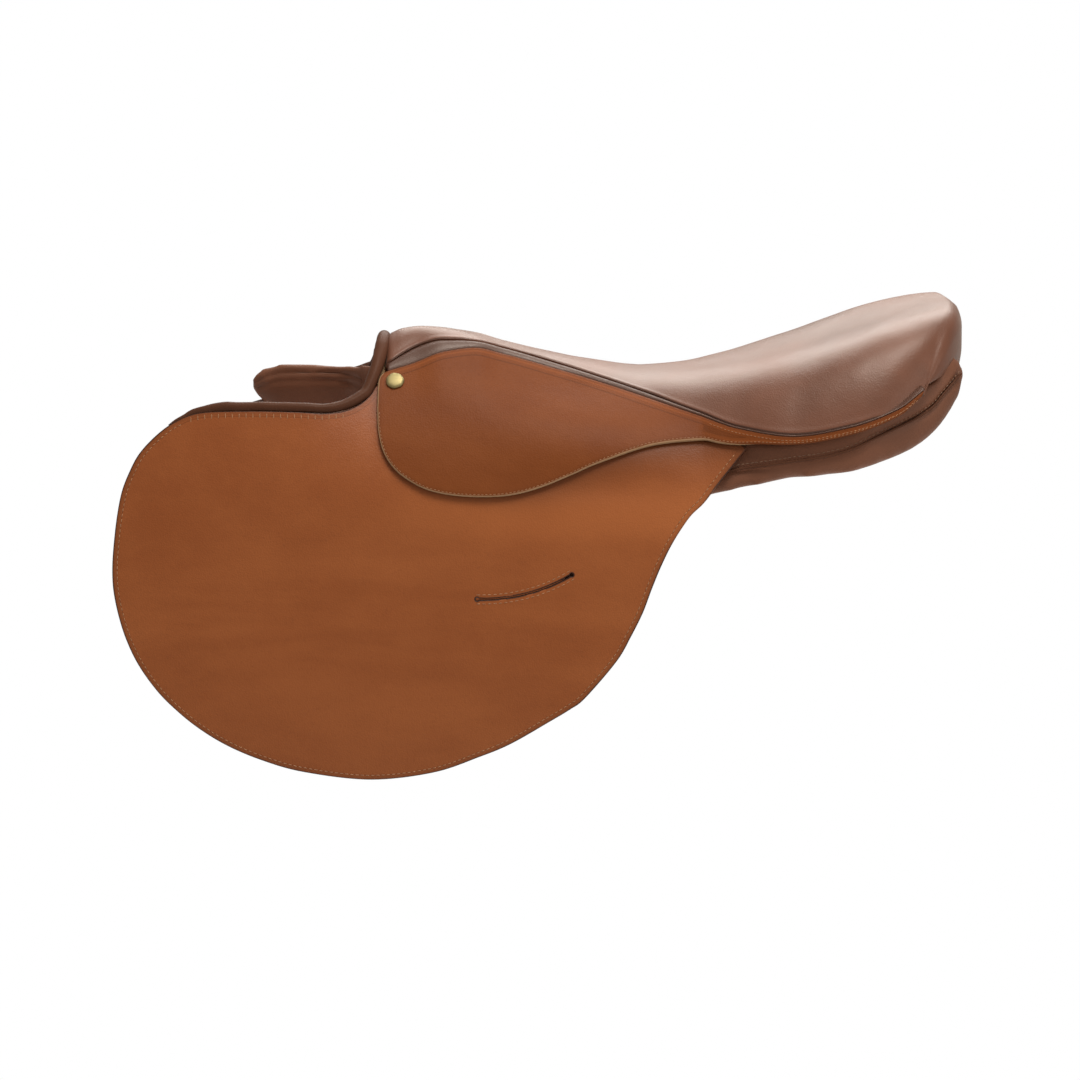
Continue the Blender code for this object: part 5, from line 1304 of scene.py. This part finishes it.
def build_stage():
    scene = bpy.context.scene
    look = scene.saddle_stage
    mesh = bpy.data.meshes.new("floor")
    half, height = 6.0, look.floor_height
    mesh.from_pydata([(-half, -half, height), (half, -half, height), (half, half, height),
                      (-half, half, height)], [], [(0, 1, 2, 3)])
    pale = bpy.data.materials.new("floor_finish")
    pale.use_nodes = True
    shader = pale.node_tree.nodes["Principled BSDF"]
    shader.inputs["Base Color"].default_value = (0.86, 0.86, 0.86, 1.0)
    shader.inputs["Roughness"].default_value = 0.9
    shown_white(pale.node_tree, shader, "Material Output", "ShaderNodeEmission")
    mesh.materials.append(pale)
    placed("floor", mesh)
    world = bpy.data.worlds.new("studio")
    scene.world = world
    world.use_nodes = True
    soft = world.node_tree.nodes["Background"]
    soft.inputs["Color"].default_value = (1.0, 0.94, 0.87, 1.0)
    soft.inputs["Strength"].default_value = look.fill
    shown_white(world.node_tree, soft, "World Output", "ShaderNodeBackground")
    for name, place, aim, size, share in LAMPS:
        lamp = bpy.data.lights.new(name, 'AREA')
        lamp.size = size
        lamp.energy = look.key * share
        lamp.color = (1.0, 0.97, 0.92)
        light = placed(name, lamp)
        light.location = place
        light.rotation_euler = (Vector(aim) - Vector(place)).to_track_quat('-Z', 'Y').to_euler()
    lens = bpy.data.cameras.new("camera")
    lens.lens = 88.0
    lens.sensor_width = 36.0
    camera = placed("camera", lens)
    camera.location = (CAMERA_X, -CAMERA_DISTANCE * math.cos(CAMERA_TILT),
                       CAMERA_Z + CAMERA_DISTANCE * math.sin(CAMERA_TILT))
    camera.rotation_euler = (math.radians(90.0) - CAMERA_TILT, 0.0, 0.0)
    scene.camera = camera
    scene.view_settings.view_transform = 'Standard'


# Add-on

def color(name, text, default):
    return bpy.props.FloatVectorProperty(name=name, description=text, subtype='COLOR', default=default,
                                         min=0, max=1)


def length(name, text, default, low, high):
    return bpy.props.FloatProperty(name=name, description=text, default=default, min=low, max=high,
                                   unit='LENGTH')


class SADDLE_PG_hides(bpy.types.PropertyGroup):
    """Colours of the leathers and the thread."""
    flap: color("Flap", "Colour of the flaps", (0.27, 0.076, 0.0195))
    skirt: color("Skirt", "Colour of the skirts", (0.208, 0.057, 0.0145))
    seat: color("Seat", "Colour of the seat", (0.116, 0.04, 0.02))
    panel: color("Panel", "Colour of panels and rolls", (0.145, 0.057, 0.031))
    raw: color("Raw edge", "Colour of the undyed edges", (0.33, 0.2, 0.11))
    dye: color("Edge dye", "Colour of the dyed edges", (0.03, 0.012, 0.008))
    thread: color("Thread", "Colour of the thread", (0.38, 0.18, 0.075))


class SADDLE_PG_stitching(bpy.types.PropertyGroup):
    """Sizes of the stitching."""
    pitch: length("Pitch", "Way from stitch to stitch", 0.004, 0.002, 0.01)
    fill: bpy.props.FloatProperty(name="Fill", description="Share of the pitch that the thread covers",
                                  default=0.68, min=0.3, max=0.95, subtype='FACTOR')
    radius: length("Thread radius", "Radius of the thread", 0.0003, 0.0001, 0.001)
    from_edge: length("From edge", "Way from the cut edge to the row", 0.004, 0.002, 0.01)


class SADDLE_PG_stage(bpy.types.PropertyGroup):
    """Light and floor."""
    key: bpy.props.FloatProperty(name="Key", description="Power of the key light", default=23.0, min=0,
                                 unit='POWER')
    fill: bpy.props.FloatProperty(name="Fill", description="Strength of the surrounding light",
                                  default=0.44, min=0)
    floor_height: length("Floor", "Height of the floor", -0.9, -10.0, 10.0)


def operator(suffix, label, text, build):
    """Operator class that runs one builder."""
    def execute(self, context):
        build()
        return {'FINISHED'}

    return type(f"SADDLE_OT_{suffix}", (bpy.types.Operator,), {
        "bl_idname": f"saddle.{suffix}", "bl_label": label, "__doc__": text, "execute": execute})


OPERATORS = [
    operator("stage", "Stage", "Builds the floor, the light and the camera", build_stage),
    operator("flaps", "Flaps", "Builds both flaps with their slits and stitches", build_flaps),
    operator("skirts", "Skirts", "Builds both skirts with their stitches", build_skirts),
    operator("seat", "Seat", "Builds the seat's hide and padding", build_seat),
    operator("welts", "Welts", "Builds the dark strips under the seat", build_welts),
    operator("roll", "Pommel roll", "Builds the roll over the pommel", build_roll),
    operator("panels", "Panels", "Builds both panels with seam, piping and stitches", build_panels),
    operator("straps", "Girth straps", "Builds the girth straps", build_straps),
    operator("nails", "Nails", "Builds the brass nails", build_nails),
    operator("tree", "Tree", "Finishes the tree, the webs and the bars", build_tree),
]


class SADDLE_PT_panel(bpy.types.Panel):
    """Lists the saddle's pieces."""
    bl_idname = "SADDLE_PT_panel"
    bl_label = "Saddle"
    bl_space_type = 'VIEW_3D'
    bl_region_type = 'UI'
    bl_category = "Saddle"

    def draw(self, context):
        layout = self.layout
        scene = context.scene
        for group in (scene.saddle_hides, scene.saddle_stitching, scene.saddle_stage):
            for name in group.__annotations__:
                layout.prop(group, name)
        for kind in OPERATORS:
            layout.operator(kind.bl_idname)


CLASSES = [SADDLE_PG_hides, SADDLE_PG_stitching, SADDLE_PG_stage, *OPERATORS, SADDLE_PT_panel]


def register():
    for kind in CLASSES:
        bpy.utils.register_class(kind)
    scene = bpy.types.Scene
    scene.saddle_hides = bpy.props.PointerProperty(type=SADDLE_PG_hides)
    scene.saddle_stitching = bpy.props.PointerProperty(type=SADDLE_PG_stitching)
    scene.saddle_stage = bpy.props.PointerProperty(type=SADDLE_PG_stage)


def unregister():
    for name in ("saddle_hides", "saddle_stitching", "saddle_stage"):
        delattr(bpy.types.Scene, name)
    for kind in reversed(CLASSES):
        bpy.utils.unregister_class(kind)


def main():
    register()
    for kind in OPERATORS:
        group, name = kind.bl_idname.split(".")
        getattr(getattr(bpy.ops, group), name)()


if __name__ == "__main__":
    main()
